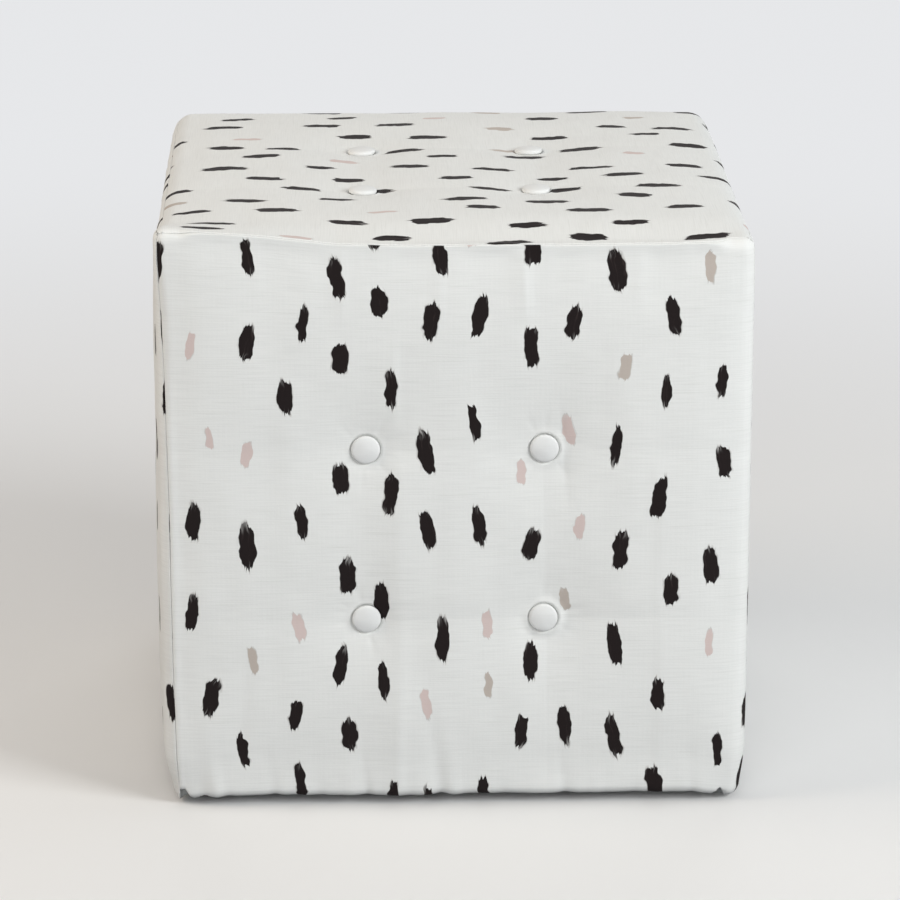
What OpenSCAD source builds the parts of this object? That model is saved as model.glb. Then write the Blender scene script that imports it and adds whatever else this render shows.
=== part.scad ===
// Cube ottoman. A pine frame with a plywood deck and hardboard sides is wrapped
// in foam and wadding, and covered by five linen panels that meet along mitred
// seams. Each panel is drawn in by four covered buttons tied through to the inside.
// The front faces -Y, +Z is up, and the ottoman stands on four glides at z = 0.

/* [Upholstery] */
// Width over the flat of the side panels
body_w = 457; // [400:1:540]
// Depth over the flat of the front and back panels
body_d = 457; // [400:1:540]
// Height from the underside of the hem to the flat of the top
body_h = 451; // [400:1:540]
// Radius of the upright and top edges
edge_r = 13; // [11:0.5:18]
// Radius where the side panels turn under at the base
base_r = 8; // [4:0.5:9]
// Rise of the top panel between its seams
top_crown = 3.5; // [1:0.5:6]
// Rise of each side panel between its seams
side_crown = 2; // [1:0.5:4]
// Thickness of the cover fabric
cover_t = 1.2; // [0.8:0.1:2]
// Width of the hem turned under the frame
hem_w = 48; // [42:1:54]
// Gap between two cover panels along a seam
seam_gap = 0.3; // [0.2:0.05:0.5]
// Clearance between the cover and what it wraps
soft_gap = 0.3; // [0.2:0.05:0.5]

/* [Tufts] */
// Distance between neighbouring buttons
tuft_pitch = 137; // [110:1:170]
// How far the buttons of a side panel sit below its middle
tuft_drop = 9; // [0:1:20]
// Depth of a tuft below the surface round it
tuft_depth = 5.5; // [3:0.5:6.5]
// Extra depth at the middle of a tuft, where the button's eye sits
tuft_pit = 3; // [3:0.25:3.5]
// Half width of the fabric that lies flat under a button
tuft_seat_r = 12; // [11.5:0.5:14]
// Radius at which a tuft has run out
tuft_reach = 45; // [36:1:50]
// Depth of the valley between two buttons of the top
top_valley = 3; // [0:0.5:4]
// Depth of the valley between two buttons of a side panel
side_valley = 1; // [0:0.5:2]

/* [Buttons] */
// Diameter of a covered button
button_d = 22.2; // [19:0.1:22.8]
// Height of the rim of a button
button_rim_h = 1; // [0.8:0.1:1.6]
// Height of the dome over the rim
button_dome_h = 4.5; // [3:0.1:6]
// Wall of the button's shell
button_wall = 0.8; // [0.5:0.1:1.1]
// Thickness of the button's back plate
button_back_t = 1; // [0.6:0.1:1.2]
// Radius of the eye, to the middle of its wire
eye_r = 1.5; // [1.4:0.05:1.7]
// Diameter of the eye's wire
eye_wire_d = 0.7; // [0.5:0.05:0.8]
// Diameter of the tufting twine
twine_d = 1; // [0.6:0.05:1]
// Diameter of the knot that ends the twine
knot_d = 5; // [4.5:0.1:6]
// Diameter of the washer that the twine is tied against
washer_d = 22; // [16:1:30]
// Thickness of the washer
washer_t = 2; // [1:0.5:4]
// Diameter of the twine's hole through cover, foam, boards and washer
twine_hole_d = 3.6; // [3.5:0.1:4.2]

/* [Padding] */
// Thickness of the wadding
batting_t = 10; // [9:0.5:13]
// Clearance between the fabric of a tuft and its hollow in the wadding
tuft_gap = 0.8; // [0.6:0.1:1]
// Thickness of the foam on the sides
side_foam_t = 16; // [12:1:30]
// Thickness of the foam on the top
top_foam_t = 42; // [30:1:60]

/* [Frame] */
// Side of a square corner post
post_w = 38; // [32:1:45]
// Thickness of a rail
rail_t = 22; // [20:1:28]
// Height of a rail
rail_h = 45; // [40:1:60]
// Thickness of the plywood deck
deck_t = 12; // [9:1:18]
// Thickness of the hardboard sides
board_t = 4; // [3:0.5:6]

/* [Fixings] */
// Length of a frame screw
screw_len = 70; // [60:1:80]
// Length of a deck screw
deck_screw_len = 40; // [30:1:45]
// Diameter of the screws
screw_d = 4; // [3:0.5:5]
// Diameter of a screw head
screw_head_d = 8; // [7:0.5:9]
// Length of a board nail
nail_len = 20; // [15:1:28]
// Diameter of a board nail
nail_d = 1.8; // [1.4:0.1:2.4]
// Diameter of a board nail's head
nail_head_d = 4.4; // [3.5:0.1:6]
// Length over the crown of a staple
staple_w = 11; // [8:0.5:14]
// Length of a staple's legs
staple_leg = 10; // [8:0.5:14]
// Number of staples along each side of the base
staples_a_side = 5; // [3:1:7]
// Clearance round screws, nails, staples and button parts
fit_gap = 0.15; // [0.1:0.01:0.2]

/* [Base] */
// Thickness of the dust cover
dust_t = 0.5; // [0.3:0.1:1]
// Distance from the edge of the hem to the edge of the dust cover
dust_inset = 22; // [15:1:26]
// Diameter of a glide
glide_d = 25; // [20:1:30]
// Height of a glide
glide_h = 6.4; // [5.5:0.1:10]
// Length of a glide's nail in the post
glide_nail_len = 20; // [12:1:30]
// Diameter of a glide's nail
glide_nail_d = 2.6; // [2:0.1:3.2]

/* [Hidden] */
SIDES = ["front", "right", "back", "left"];
CORNERS = ["front_left", "front_right", "back_right", "back_left"];

$fn = 48;
// Overrun of every cut past the face that it leaves
overrun = 1;
// Gap between the dust cover and the hem over it
layer_gap = 0.1;
// Width and thickness of a staple's wire
staple_wire_w = 1.2;
staple_wire_t = 0.6;
// Height of the nail heads, and of the head inside a glide
nail_head_h = 0.9;
glide_head_h = 1.2;
glide_head_d = 8;
// Plastic left under the head inside a glide
glide_sole = 3;
// Chamfer of the glide's foot
glide_chamfer = 2;
// Wood left between a hole's end and a fixing's tip
tip_gap = 0.5;
// Length of the pointed tips, as a share of the fixing's diameter
tip_share = 1.5;
// How far two screws of one corner are apart, as a share of the rail's height
cross_share = 0.36;
// Places of the deck screws and the rail nails, as shares of the frame's half width
deck_screw_share = 0.5;
rail_nail_share = 0.3;
// Places of the post nails, as a share of half of the boards' height
post_nail_share = 0.55;
// Spread of the staples along a rail's clear length, as a share of it
staple_spread_share = 0.86;
// Length of the hem's inner edge that the rounded corner takes up
hem_corner = 4;

half_w = body_w / 2;
half_d = body_d / 2;
base_z = glide_h + dust_t + layer_gap;
top_z = base_z + body_h;
turn_z = base_z + base_r;
flat_top_z = top_z - edge_r;
side_mid_z = (turn_z + flat_top_z) / 2;
skin_t = cover_t + soft_gap;
foam_in = skin_t + batting_t;
board_in = foam_in + side_foam_t;
frame_in = board_in + board_t;
frame_z = base_z + skin_t;
deck_top_z = top_z - foam_in - top_foam_t;
frame_top_z = deck_top_z - deck_t;
frame_half_w = half_w - frame_in;
frame_half_d = half_d - frame_in;
post_mid_w = frame_half_w - post_w / 2;
post_mid_d = frame_half_d - post_w / 2;
top_rail_z = frame_top_z - rail_h / 2;
base_rail_z = frame_z + rail_h / 2;
tuft_mid_z = (base_z + top_z) / 2 - tuft_drop;
button_r = button_d / 2;
// Where the seat of a tuft ends at its corners, and the middle of the slope round it
tuft_flat_r = tuft_seat_r * sqrt(2);
tuft_slope_r = (tuft_flat_r + tuft_reach) / 2;
staple_legs = staple_w / 2 - staple_wire_w / 2;
mitre_cut = seam_gap / sqrt(2);

// Angles at which a panel turns towards its neighbour, up to just short of the mitre
mitre_turn = 45;
edge_turn = mitre_turn - asin(seam_gap / 2 / edge_r);
hem_turns = [90, 45];

// Which way a side faces, and its half run and half reach
function turn_of(side) = 90 * search([side], SIDES)[0];
function run_of(side) = (side == "front" || side == "back") ? half_w : half_d;
function reach_of(side) = (side == "front" || side == "back") ? half_d : half_w;

module on_side(side) { rotate([0, 0, turn_of(side)]) rotate([90, 0, 0]) children(); }

// The top is set out as it lies, a side as seen from outside with its width along X,
// its height along Y and its outward direction along Z
module on_place(place) {
    if (place == "top") children();
    else on_side(place) children();
}
function middle_of(place) = place == "top" ? 0 : tuft_mid_z;
function level_of(place) = place == "top" ? top_z : reach_of(place);
function inside_of(place) = place == "top" ? frame_top_z : reach_of(place) - frame_in;

// Places of the buttons, with the fabric that each sits on at z = 0
module at_buttons(place) {
    on_place(place)
        for (u = [-1, 1], v = [-1, 1]) {
            $sunk = seat_depth(place, v);
            $inside = level_of(place) - $sunk - inside_of(place);
            translate([u * tuft_pitch / 2, middle_of(place) + v * tuft_pitch / 2,
                       level_of(place) - $sunk])
                children();
        }
}

// The twine's holes, bored from a level outwards
module twine_bores(place, level, length) {
    on_place(place)
        for (u = [-1, 1], v = [-1, 1])
            translate([u * tuft_pitch / 2, middle_of(place) + v * tuft_pitch / 2, level - overrun])
                cylinder(h = length + 2 * overrun, d = twine_hole_d);
}

module box_between(low, high) { translate(low) cube(high - low); }

// Form of the panels: the crown, the tufts and the valleys between them
function unit(v) = v / norm(v);
function fade(x, from, to) =
    x <= from ? 1 : x >= to ? 0 : (1 + cos(180 * (x - from) / (to - from))) / 2;
function tuft_at(u, v) = fade(norm([u, v]), tuft_flat_r, tuft_reach);
function valley_at(u, v) =
    fade(abs(u), 0, tuft_reach) * fade(abs(v), tuft_pitch / 2, tuft_pitch / 2 + tuft_reach);
function crown_at(x, half) = 1 - pow(x / half, 2);
function nearest(x) = x < 0 ? x + tuft_pitch / 2 : x - tuft_pitch / 2;
function pit_at(u, v) = norm([u, v]) < tuft_seat_r / 2 ? tuft_pit : 0;

// Height of a panel over its flat, u and v from the middle of its four buttons
function swell(u, v, crown, valley) =
    let (du = nearest(u), dv = nearest(v))
        crown - max(tuft_depth * tuft_at(du, dv), valley * valley_at(du, v)) - pit_at(du, dv);
function top_rise(u, v) = top_crown * crown_at(u, half_w - edge_r) * crown_at(v, half_d - edge_r);
function top_swell(u, v) = swell(u, v, top_rise(u, v), top_valley);
function side_rise(u, z, run) =
    side_crown * crown_at(u, run - edge_r) * crown_at(z - side_mid_z, flat_top_z - side_mid_z);
function side_swell(u, z, run) = swell(u, z - tuft_mid_z, side_rise(u, z, run), side_valley);

// How far the fabric that a button sits on lies below the flat of its panel, v is 1
// for the upper or back pair of buttons and -1 for the other
function seat_depth(place, v) =
    tuft_depth - (place == "top" ? top_rise(tuft_pitch / 2, tuft_pitch / 2)
        : side_rise(tuft_pitch / 2, tuft_mid_z + v * tuft_pitch / 2, run_of(place)));

// Lines that a panel's form is set out on, each a place and a turn towards the edge
function tuft_lines(at) =
    [for (from = [-tuft_reach, -tuft_slope_r, -tuft_seat_r, 0, tuft_seat_r, tuft_slope_r, tuft_reach])
        at + from];
function flat_lines(low, mid, high) =
    concat([low], tuft_lines(mid - tuft_pitch / 2), tuft_lines(mid + tuft_pitch / 2), [high]);
function edge_lines(at, way) = [for (turn = [edge_turn / 2, edge_turn]) [at, way * turn]];
function cross_lines(half) =
    let (flat = half - edge_r, out = edge_lines(flat, 1))
        concat([-out[1], -out[0]], [for (p = flat_lines(-flat, 0, flat)) [p, 0]], out);

// A point of the cover, inset from its outer face: on the flat and the rounded
// edges, where it turns under at the base, and at the inner edge of the hem
function face_point(u, v, reach, inset, rise) =
    [u[0], v[0], reach - edge_r] + (edge_r - inset) * unit([tan(u[1]), tan(v[1]), 1]) + [0, 0, rise];
function turn_point(u, turn, reach, inset) =
    let (r = base_r - inset, out = (edge_r - base_r + r * cos(turn)) * unit([tan(u[1]), 1]))
        [u[0] + out[0], turn_z - r * sin(turn), reach - edge_r + out[1]];
function hem_point(u, run, reach, inset) =
    let (along = u[0] / (run - edge_r), corner = u[1] / edge_turn * hem_corner)
        [along * (run - hem_w - mitre_cut - hem_corner) + corner, base_z + inset, reach - hem_w];

function top_rows(inset) = [for (v = cross_lines(half_d)) [for (u = cross_lines(half_w))
    face_point(u, v, top_z, inset, top_swell(u[0], v[0]))]];
function side_rows(run, reach, inset) =
    let (across = cross_lines(run),
         up = concat([for (z = flat_lines(turn_z, tuft_mid_z, flat_top_z)) [z, 0]],
                     edge_lines(flat_top_z, 1)))
        concat([[for (u = across) hem_point(u, run, reach, inset)]],
               [for (turn = hem_turns) [for (u = across) turn_point(u, turn, reach, inset)]],
               [for (v = up) [for (u = across)
                   face_point(u, v, reach, inset, side_swell(u[0], v[0], run))]]);

// A closed skin between an outer and an inner sheet of points, row by row
function quad(a, b, c, d, flip) = flip ? [[a, b, d], [b, c, d]] : [[a, b, c], [a, c, d]];
function flat_list(lists) = [for (list = lists) for (item = list) item];
module skin(outer, inner) {
    rows = len(outer);
    cols = len(outer[0]);
    count = rows * cols;
    mid = (cols - 1) / 2;
    faces = concat(
        [for (j = [0:rows - 2], i = [0:cols - 2])
            let (a = j * cols + i, flip = (i < mid) == (j < rows / 2))
                quad(a, a + cols, a + cols + 1, a + 1, flip)],
        [for (j = [0:rows - 2], i = [0:cols - 2])
            let (a = count + j * cols + i, flip = (i < mid) != (j < rows / 2))
                quad(a + 1, a + cols + 1, a + cols, a, flip)],
        [for (i = [0:cols - 2]) quad(i, i + 1, count + i + 1, count + i, false)],
        [for (i = [0:cols - 2]) let (a = count - cols + i)
            quad(a + 1, a, count + a, count + a + 1, false)],
        [for (j = [0:rows - 2]) let (a = j * cols)
            quad(a + cols, a, count + a, count + a + cols, false)],
        [for (j = [0:rows - 2]) let (a = j * cols + cols - 1)
            quad(a, a + cols, count + a + cols, count + a, false)]);
    polyhedron(concat(flat_list(outer), flat_list(inner)), flat_list(faces));
}

// Fixings, each with its head at z = 0 and its tip below, and the holes for them
module fixing(len, d, head_d, head_h, cone) {
    point = tip_share * d;
    translate([0, 0, -head_h]) cylinder(h = head_h, d1 = cone ? d : head_d, d2 = head_d);
    translate([0, 0, point - len]) cylinder(h = len - point - head_h / 2, d = d);
    translate([0, 0, -len]) cylinder(h = point, d1 = 0, d2 = d);
}

module fixing_hole(len, d, head_d, head_h, cone) {
    wide = head_d + 2 * fit_gap;
    narrow = cone ? d + 2 * fit_gap : wide;
    translate([0, 0, -head_h - fit_gap]) cylinder(h = head_h + fit_gap, d1 = narrow, d2 = wide);
    cylinder(h = overrun, d = wide);
    translate([0, 0, -len - tip_gap]) cylinder(h = len + tip_gap, d = d + 2 * fit_gap);
}

screw_head_h = (screw_head_d - screw_d) / 2;
module screw(len) { fixing(len, screw_d, screw_head_d, screw_head_h, true); }
module screw_hole(len) { fixing_hole(len, screw_d, screw_head_d, screw_head_h, true); }

// Places of the frame screws: through a post into the end of a rail, on one side
module at_rail_screws(side) {
    run = run_of(side) - frame_in;
    reach = reach_of(side) - frame_in - rail_t / 2;
    shift = (side == "front" || side == "back") ? 1 : -1;
    on_side(side)
        for (way = [-1, 1], z = [top_rail_z, base_rail_z])
            translate([way * run, z + shift * cross_share * rail_h / 2, reach])
                rotate([0, way * 90, 0]) children();
}

// Places of the screws through the left and right rails into the deck brace
module at_brace_screws() {
    for (side = ["left", "right"])
        on_side(side) translate([0, top_rail_z, reach_of(side) - frame_in]) children();
}

module at_frame_screws() {
    for (side = SIDES) at_rail_screws(side) children();
    at_brace_screws() children();
}

module at_deck_screws() {
    for (side = SIDES, way = [-1, 1])
        on_side(side)
            translate([way * deck_screw_share * (run_of(side) - frame_in), deck_top_z,
                       reach_of(side) - frame_in - rail_t / 2])
                rotate([-90, 0, 0]) children();
}

module at_board_nails(side) {
    run = run_of(side) - frame_in;
    mid = (frame_z + deck_top_z) / 2;
    nail_z = post_nail_share * (deck_top_z - frame_z) / 2;
    on_side(side) translate([0, 0, reach_of(side) - board_in]) {
        for (way = [-1, 1], z = [mid - nail_z, mid + nail_z])
            translate([way * (run - post_w / 2), z, 0]) children();
        for (way = [-1, 1], z = [base_rail_z, top_rail_z])
            translate([way * rail_nail_share * run, z, 0]) children();
    }
}

module nail_hole() { fixing_hole(nail_len, nail_d, nail_head_d, nail_head_h, false); }

// Places of the base staples, with the crown under the dust cover at the local origin
module at_staples(side) {
    clear = run_of(side) - frame_in - post_w;
    step = 2 * clear * staple_spread_share / (staples_a_side - 1);
    on_side(side)
        for (i = [0:staples_a_side - 1])
            translate([(i - (staples_a_side - 1) / 2) * step, glide_h,
                       reach_of(side) - frame_in - rail_t / 2])
                rotate([90, 0, 0]) children();
}

module staple_leg_holes() {
    for (way = [-1, 1])
        translate([way * staple_legs, 0, -(staple_leg + tip_gap) / 2 + overrun / 2])
            cube([staple_wire_w + 2 * fit_gap, staple_wire_t + 2 * fit_gap,
                  staple_leg + tip_gap + overrun], center = true);
}

// Centre of a glide, from each corner in turn
module at_glides() {
    for (x = [-1, 1], y = [-1, 1]) translate([x * post_mid_w, y * post_mid_d, 0]) children();
}

// Frame
module corner_post(x, y) {
    color("burlywood") difference() {
        translate([x * post_mid_w, y * post_mid_d, (frame_z + frame_top_z) / 2])
            cube([post_w, post_w, frame_top_z - frame_z], center = true);
        for (side = SIDES) {
            at_rail_screws(side) screw_hole(screw_len);
            at_board_nails(side) nail_hole();
        }
        at_glides() glide_nail_hole();
    }
}

module rail(side, z) {
    color("burlywood") difference() {
        on_side(side) {
            length = run_of(side) - frame_in - post_w;
            translate([0, z, reach_of(side) - frame_in - rail_t / 2])
                cube([2 * length, rail_h, rail_t], center = true);
        }
        at_rail_screws(side) screw_hole(screw_len);
        at_brace_screws() screw_hole(screw_len);
        at_deck_screws() screw_hole(deck_screw_len);
        at_board_nails(side) nail_hole();
        at_staples(side) staple_leg_holes();
    }
}

module deck_brace() {
    color("burlywood") difference() {
        translate([0, 0, top_rail_z]) cube([2 * (frame_half_w - rail_t), rail_t, rail_h], center = true);
        at_brace_screws() screw_hole(screw_len);
    }
}

module top_deck() {
    color("tan") difference() {
        box_between([-frame_half_w, -frame_half_d, frame_top_z],
                    [frame_half_w, frame_half_d, deck_top_z]);
        at_deck_screws() screw_hole(deck_screw_len);
        twine_bores("top", frame_top_z, deck_t);
    }
}

module side_board(side) {
    lap = (side == "front" || side == "back") ? board_in : frame_in;
    run = run_of(side) - lap;
    reach = reach_of(side) - frame_in;
    color("saddlebrown") difference() {
        on_side(side) box_between([-run, frame_z, reach], [run, deck_top_z, reach + board_t]);
        twine_bores(side, reach, board_t);
        at_board_nails(side) nail_hole();
    }
}

module frame_screws() { color("goldenrod") at_frame_screws() screw(screw_len); }
module deck_screws() { color("goldenrod") at_deck_screws() screw(deck_screw_len); }
module board_nails() {
    color("silver") for (side = SIDES)
        at_board_nails(side) fixing(nail_len, nail_d, nail_head_d, nail_head_h, false);
}

// Padding
module top_foam() {
    color("khaki") difference() {
        box_between([foam_in - half_w, foam_in - half_d, deck_top_z],
                    [half_w - foam_in, half_d - foam_in, top_z - foam_in]);
        twine_bores("top", deck_top_z, top_foam_t);
    }
}

module side_foam(side) {
    lap = (side == "front" || side == "back") ? foam_in : board_in + soft_gap;
    run = run_of(side) - lap;
    reach = reach_of(side) - board_in;
    color("khaki") difference() {
        on_side(side) box_between([-run, frame_z, reach], [run, deck_top_z, reach + side_foam_t]);
        twine_bores(side, reach, side_foam_t);
    }
}

// The hollow that a tuft presses into the wadding, with the fabric under the button
// at z = 0
module tuft_hollow() {
    seat_z = -skin_t - tuft_gap;
    face_z = $sunk - skin_t;
    translate([0, 0, seat_z]) cylinder(h = face_z - seat_z, r1 = tuft_flat_r, r2 = tuft_reach);
    translate([0, 0, face_z]) cylinder(h = overrun, r = tuft_reach);
    translate([0, 0, seat_z - tuft_pit]) cylinder(h = tuft_pit, r1 = twine_hole_d, r2 = tuft_flat_r);
    translate([0, 0, face_z - batting_t - overrun])
        cylinder(h = batting_t + overrun, d = twine_hole_d);
}

batting_edge_r = edge_r - skin_t;
batting_corner = edge_r - batting_edge_r / sqrt(2);

module top_batting() {
    low_z = top_z - foam_in;
    foot_in = edge_r - sqrt(pow(batting_edge_r, 2) - pow(edge_r - foam_in, 2)) + soft_gap;
    color("white") difference() {
        intersection() {
            translate([0, 0, low_z]) linear_extrude(batting_t) chamfered_plan(foot_in, edge_r);
            sloped_edges(half_w, half_d, foot_in, low_z);
            rotate([0, 0, 90]) sloped_edges(half_d, half_w, foot_in, low_z);
        }
        at_buttons("top") tuft_hollow();
    }
}

// The outline of the top wadding, its corners cut back
module chamfered_plan(inset, cut) {
    x = half_w - inset;
    y = half_d - inset;
    polygon([[-x, cut - y], [cut - x, -y], [x - cut, -y], [x, cut - y],
             [x, y - cut], [x - cut, y], [cut - x, y], [-x, y - cut]]);
}

// The slope of the top wadding's edges, along one pair of sides
module sloped_edges(half, length, inset, low_z) {
    rotate([90, 0, 0]) linear_extrude(2 * length, center = true)
        polygon([[inset - half, low_z], [half - inset, low_z],
                 [half - edge_r, top_z - skin_t], [edge_r - half, top_z - skin_t]]);
}

module side_batting(side) {
    run = run_of(side);
    reach = reach_of(side);
    color("white") difference() {
        on_side(side) translate([0, turn_z, 0]) rotate([-90, 0, 0]) mirror([0, 1, 0])
            linear_extrude(flat_top_z - turn_z)
                polygon([[foam_in + mitre_cut - run, reach - foam_in],
                         [run - foam_in - mitre_cut, reach - foam_in],
                         [run - batting_corner - mitre_cut, reach - batting_corner],
                         [run - edge_r, reach - skin_t],
                         [edge_r - run, reach - skin_t],
                         [batting_corner + mitre_cut - run, reach - batting_corner]]);
        at_buttons(side) tuft_hollow();
    }
}

// Cover
module cover_top() {
    color("whitesmoke") difference() {
        skin(top_rows(0), top_rows(cover_t));
        at_buttons("top") twine_passage();
    }
}

module cover_side(side) {
    run = run_of(side);
    reach = reach_of(side);
    color("whitesmoke") difference() {
        on_side(side) skin(side_rows(run, reach, 0), side_rows(run, reach, cover_t));
        at_buttons(side) twine_passage();
        at_staples(side) staple_leg_holes();
    }
}

module twine_passage() {
    deep = tuft_pit + cover_t + overrun;
    translate([0, 0, -deep]) cylinder(h = deep + overrun, d = twine_hole_d);
}

// Buttons, set out with the fabric that they sit on at z = 0
// Half of a button's section: a rim with a dome on it, drawn in by the inset
module dome_half(inset) {
    r = button_r - inset;
    rise = button_dome_h - inset;
    sphere_r = (pow(r, 2) + pow(rise, 2)) / (2 * rise);
    top = button_rim_h + rise;
    intersection() {
        translate([0, top - sphere_r]) circle(r = sphere_r, $fn = 2 * $fn);
        square([r, top]);
    }
}

module button_cap() {
    translate([0, 0, soft_gap]) rotate_extrude() difference() {
        dome_half(0);
        dome_half(button_wall);
    }
}

module button_back() {
    r = button_r - button_wall - fit_gap;
    translate([0, 0, soft_gap]) {
        intersection() {
            cylinder(h = button_back_t, r = r);
            rotate_extrude() dome_half(button_wall + fit_gap);
        }
        rotate([90, 0, 0]) rotate([0, 0, 180]) rotate_extrude(angle = 180)
            translate([eye_r, 0]) circle(d = eye_wire_d, $fn = 24);
    }
}

module twine_loop(depth) {
    bend = (eye_wire_d + twine_d) / 2 + layer_gap;
    bend_z = soft_gap - eye_r;
    translate([0, 0, bend_z]) rotate([90, 0, 90]) rotate_extrude(angle = 180)
        translate([bend, 0]) circle(d = twine_d, $fn = 24);
    for (way = [-1, 1])
        translate([0, way * bend, -depth]) cylinder(h = depth + bend_z, d = twine_d, $fn = 24);
    translate([0, 0, -depth]) sphere(d = knot_d);
}

module tufting_twine(place) {
    knot_in = washer_t + sqrt(pow(knot_d, 2) - pow(twine_hole_d, 2)) / 2 + fit_gap;
    color("ivory") at_buttons(place) twine_loop($inside + knot_in);
}

module twine_washers(place) {
    color("gainsboro") at_buttons(place) translate([0, 0, -$inside - washer_t]) difference() {
        cylinder(h = washer_t, d = washer_d);
        translate([0, 0, -overrun]) cylinder(h = washer_t + 2 * overrun, d = twine_hole_d);
    }
}

module button_caps(place) { color("whitesmoke") at_buttons(place) button_cap(); }
module button_backs(place) { color("silver") at_buttons(place) button_back(); }

// Base
module dust_cover() {
    x = half_w - dust_inset;
    y = half_d - dust_inset;
    color("dimgray") difference() {
        box_between([-x, -y, glide_h], [x, y, glide_h + dust_t]);
        for (side = SIDES) at_staples(side) staple_leg_holes();
        at_glides() glide_nail_hole();
    }
}

module base_staples() {
    color("silver") for (side = SIDES) at_staples(side) {
        translate([0, 0, staple_wire_t / 2])
            cube([staple_w, staple_wire_t, staple_wire_t], center = true);
        for (way = [-1, 1])
            translate([way * staple_legs, 0, (staple_wire_t - staple_leg) / 2])
                cube([staple_wire_w, staple_wire_t, staple_leg + staple_wire_t], center = true);
    }
}

module glides() {
    color("saddlebrown") at_glides() difference() {
        union() {
            cylinder(h = glide_chamfer, d1 = glide_d - 2 * glide_chamfer, d2 = glide_d);
            translate([0, 0, glide_chamfer]) cylinder(h = glide_h - glide_chamfer, d = glide_d);
        }
        glide_nail_hole();
    }
}

module glide_nails() {
    color("silver") at_glides() {
        translate([0, 0, glide_sole]) cylinder(h = glide_head_h, d = glide_head_d);
        nail_top = frame_z + glide_nail_len;
        point = tip_share * glide_nail_d;
        translate([0, 0, glide_sole]) cylinder(h = nail_top - point - glide_sole, d = glide_nail_d);
        translate([0, 0, nail_top - point]) cylinder(h = point, d1 = glide_nail_d, d2 = 0);
    }
}

module glide_nail_hole() {
    translate([0, 0, glide_sole - fit_gap])
        cylinder(h = glide_head_h + 2 * fit_gap, d = glide_head_d + 2 * fit_gap);
    translate([0, 0, glide_sole])
        cylinder(h = frame_z + glide_nail_len + tip_gap - glide_sole, d = glide_nail_d + 2 * fit_gap);
}

corner_post(-1, -1);  // corner_post_front_left
corner_post(1, -1);  // corner_post_front_right
corner_post(1, 1);  // corner_post_back_right
corner_post(-1, 1);  // corner_post_back_left
for (side = SIDES) {
    rail(side, top_rail_z);
    rail(side, base_rail_z);
    side_board(side);
    side_foam(side);
    side_batting(side);
    cover_side(side);
}
for (place = concat(["top"], SIDES)) {
    button_caps(place);
    button_backs(place);
    tufting_twine(place);
    twine_washers(place);
}
deck_brace();
top_deck();
frame_screws();
deck_screws();
board_nails();
top_foam();
top_batting();
cover_top();
dust_cover();
base_staples();
glides();
glide_nails();
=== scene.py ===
"""Looks of the cube ottoman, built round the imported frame: the five linen panels of the
cover, the wadding and foam under them, the covered buttons, the dust cover and the base."""
import math
import bpy
import bmesh
import numpy as np
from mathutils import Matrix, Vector


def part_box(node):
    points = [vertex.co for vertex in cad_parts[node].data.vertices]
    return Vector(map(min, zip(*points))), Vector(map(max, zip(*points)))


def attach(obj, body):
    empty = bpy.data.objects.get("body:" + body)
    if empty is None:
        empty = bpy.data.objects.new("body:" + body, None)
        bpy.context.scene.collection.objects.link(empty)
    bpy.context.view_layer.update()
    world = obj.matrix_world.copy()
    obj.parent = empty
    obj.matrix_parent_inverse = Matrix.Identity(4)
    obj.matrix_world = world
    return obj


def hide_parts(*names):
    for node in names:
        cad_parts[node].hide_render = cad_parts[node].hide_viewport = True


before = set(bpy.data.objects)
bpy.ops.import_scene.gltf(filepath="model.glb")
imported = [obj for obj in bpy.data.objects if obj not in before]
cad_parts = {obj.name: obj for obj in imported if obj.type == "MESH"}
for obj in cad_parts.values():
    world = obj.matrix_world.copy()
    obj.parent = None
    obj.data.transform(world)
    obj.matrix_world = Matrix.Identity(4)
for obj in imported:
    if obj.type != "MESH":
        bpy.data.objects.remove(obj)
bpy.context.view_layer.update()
bpy.ops.object.select_all(action="DESELECT")

MM = 0.001
SIDES = ["front", "right", "back", "left"]
PLACES = ["top"] + SIDES

# Sizes of the frame, as the model has them
HALF = 228.5 * MM
TOP_Z = 458.0 * MM
BASE_Z = 7.0 * MM
TURN_Z = 15.0 * MM
HEM_IN = 46.0 * MM
TUFT_MID_Z = 223.5 * MM
TUFT = 68.5 * MM
FOAM_IN = 11.5 * MM
BUTTON_R = 11.1 * MM

# Cloth of the cover
CLOTH_T = 1.0 * MM
BAND = 20.0 * MM            # width of the rounded band along every edge
SEAM_ROLL = 0.5 * MM        # radius at which a panel rolls into its seam
SEAM_REACH = 7.0 * MM       # cloth beside a seam that gives way for the roll
SEAM_GAP = 0.2 * MM
ALLOWANCE = 3.2 * MM        # how far the cloth runs in past the roll
CELL = 3.0 * MM
TUFT_CELL = 1.05 * MM       # lines of a panel are this close together beside its tufts
BAND_CELLS = 12
TURN_CELLS = 7
HEM_CELLS = 8

# Crowns and tufts, from the flat of a panel
TOP_CROWN, TOP_SEAT, TOP_VALLEY, TOP_UNDER = 2.4 * MM, -1.1 * MM, 2.7 * MM, -2.9 * MM
SIDE_CROWN, SIDE_SEAT, SIDE_VALLEY, SIDE_UNDER = 1.9 * MM, -1.6 * MM, 1.0 * MM, -3.9 * MM
SHELL_ROOM = 1.9 * MM       # how much lower the cloth lies under the shell of a button
# Distances from a tuft: where each form around it is whole, and where it ends
DRAW_WIDE, DRAW_NEAR = (10 * MM, 56 * MM), (10 * MM, 24 * MM)
TUCKED, SHELL = (11.2 * MM, 12.7 * MM), (8.4 * MM, 10.6 * MM)
VALLEY_REACH = 42 * MM
FINE_LINES = (13 * MM, 24 * MM)
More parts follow.
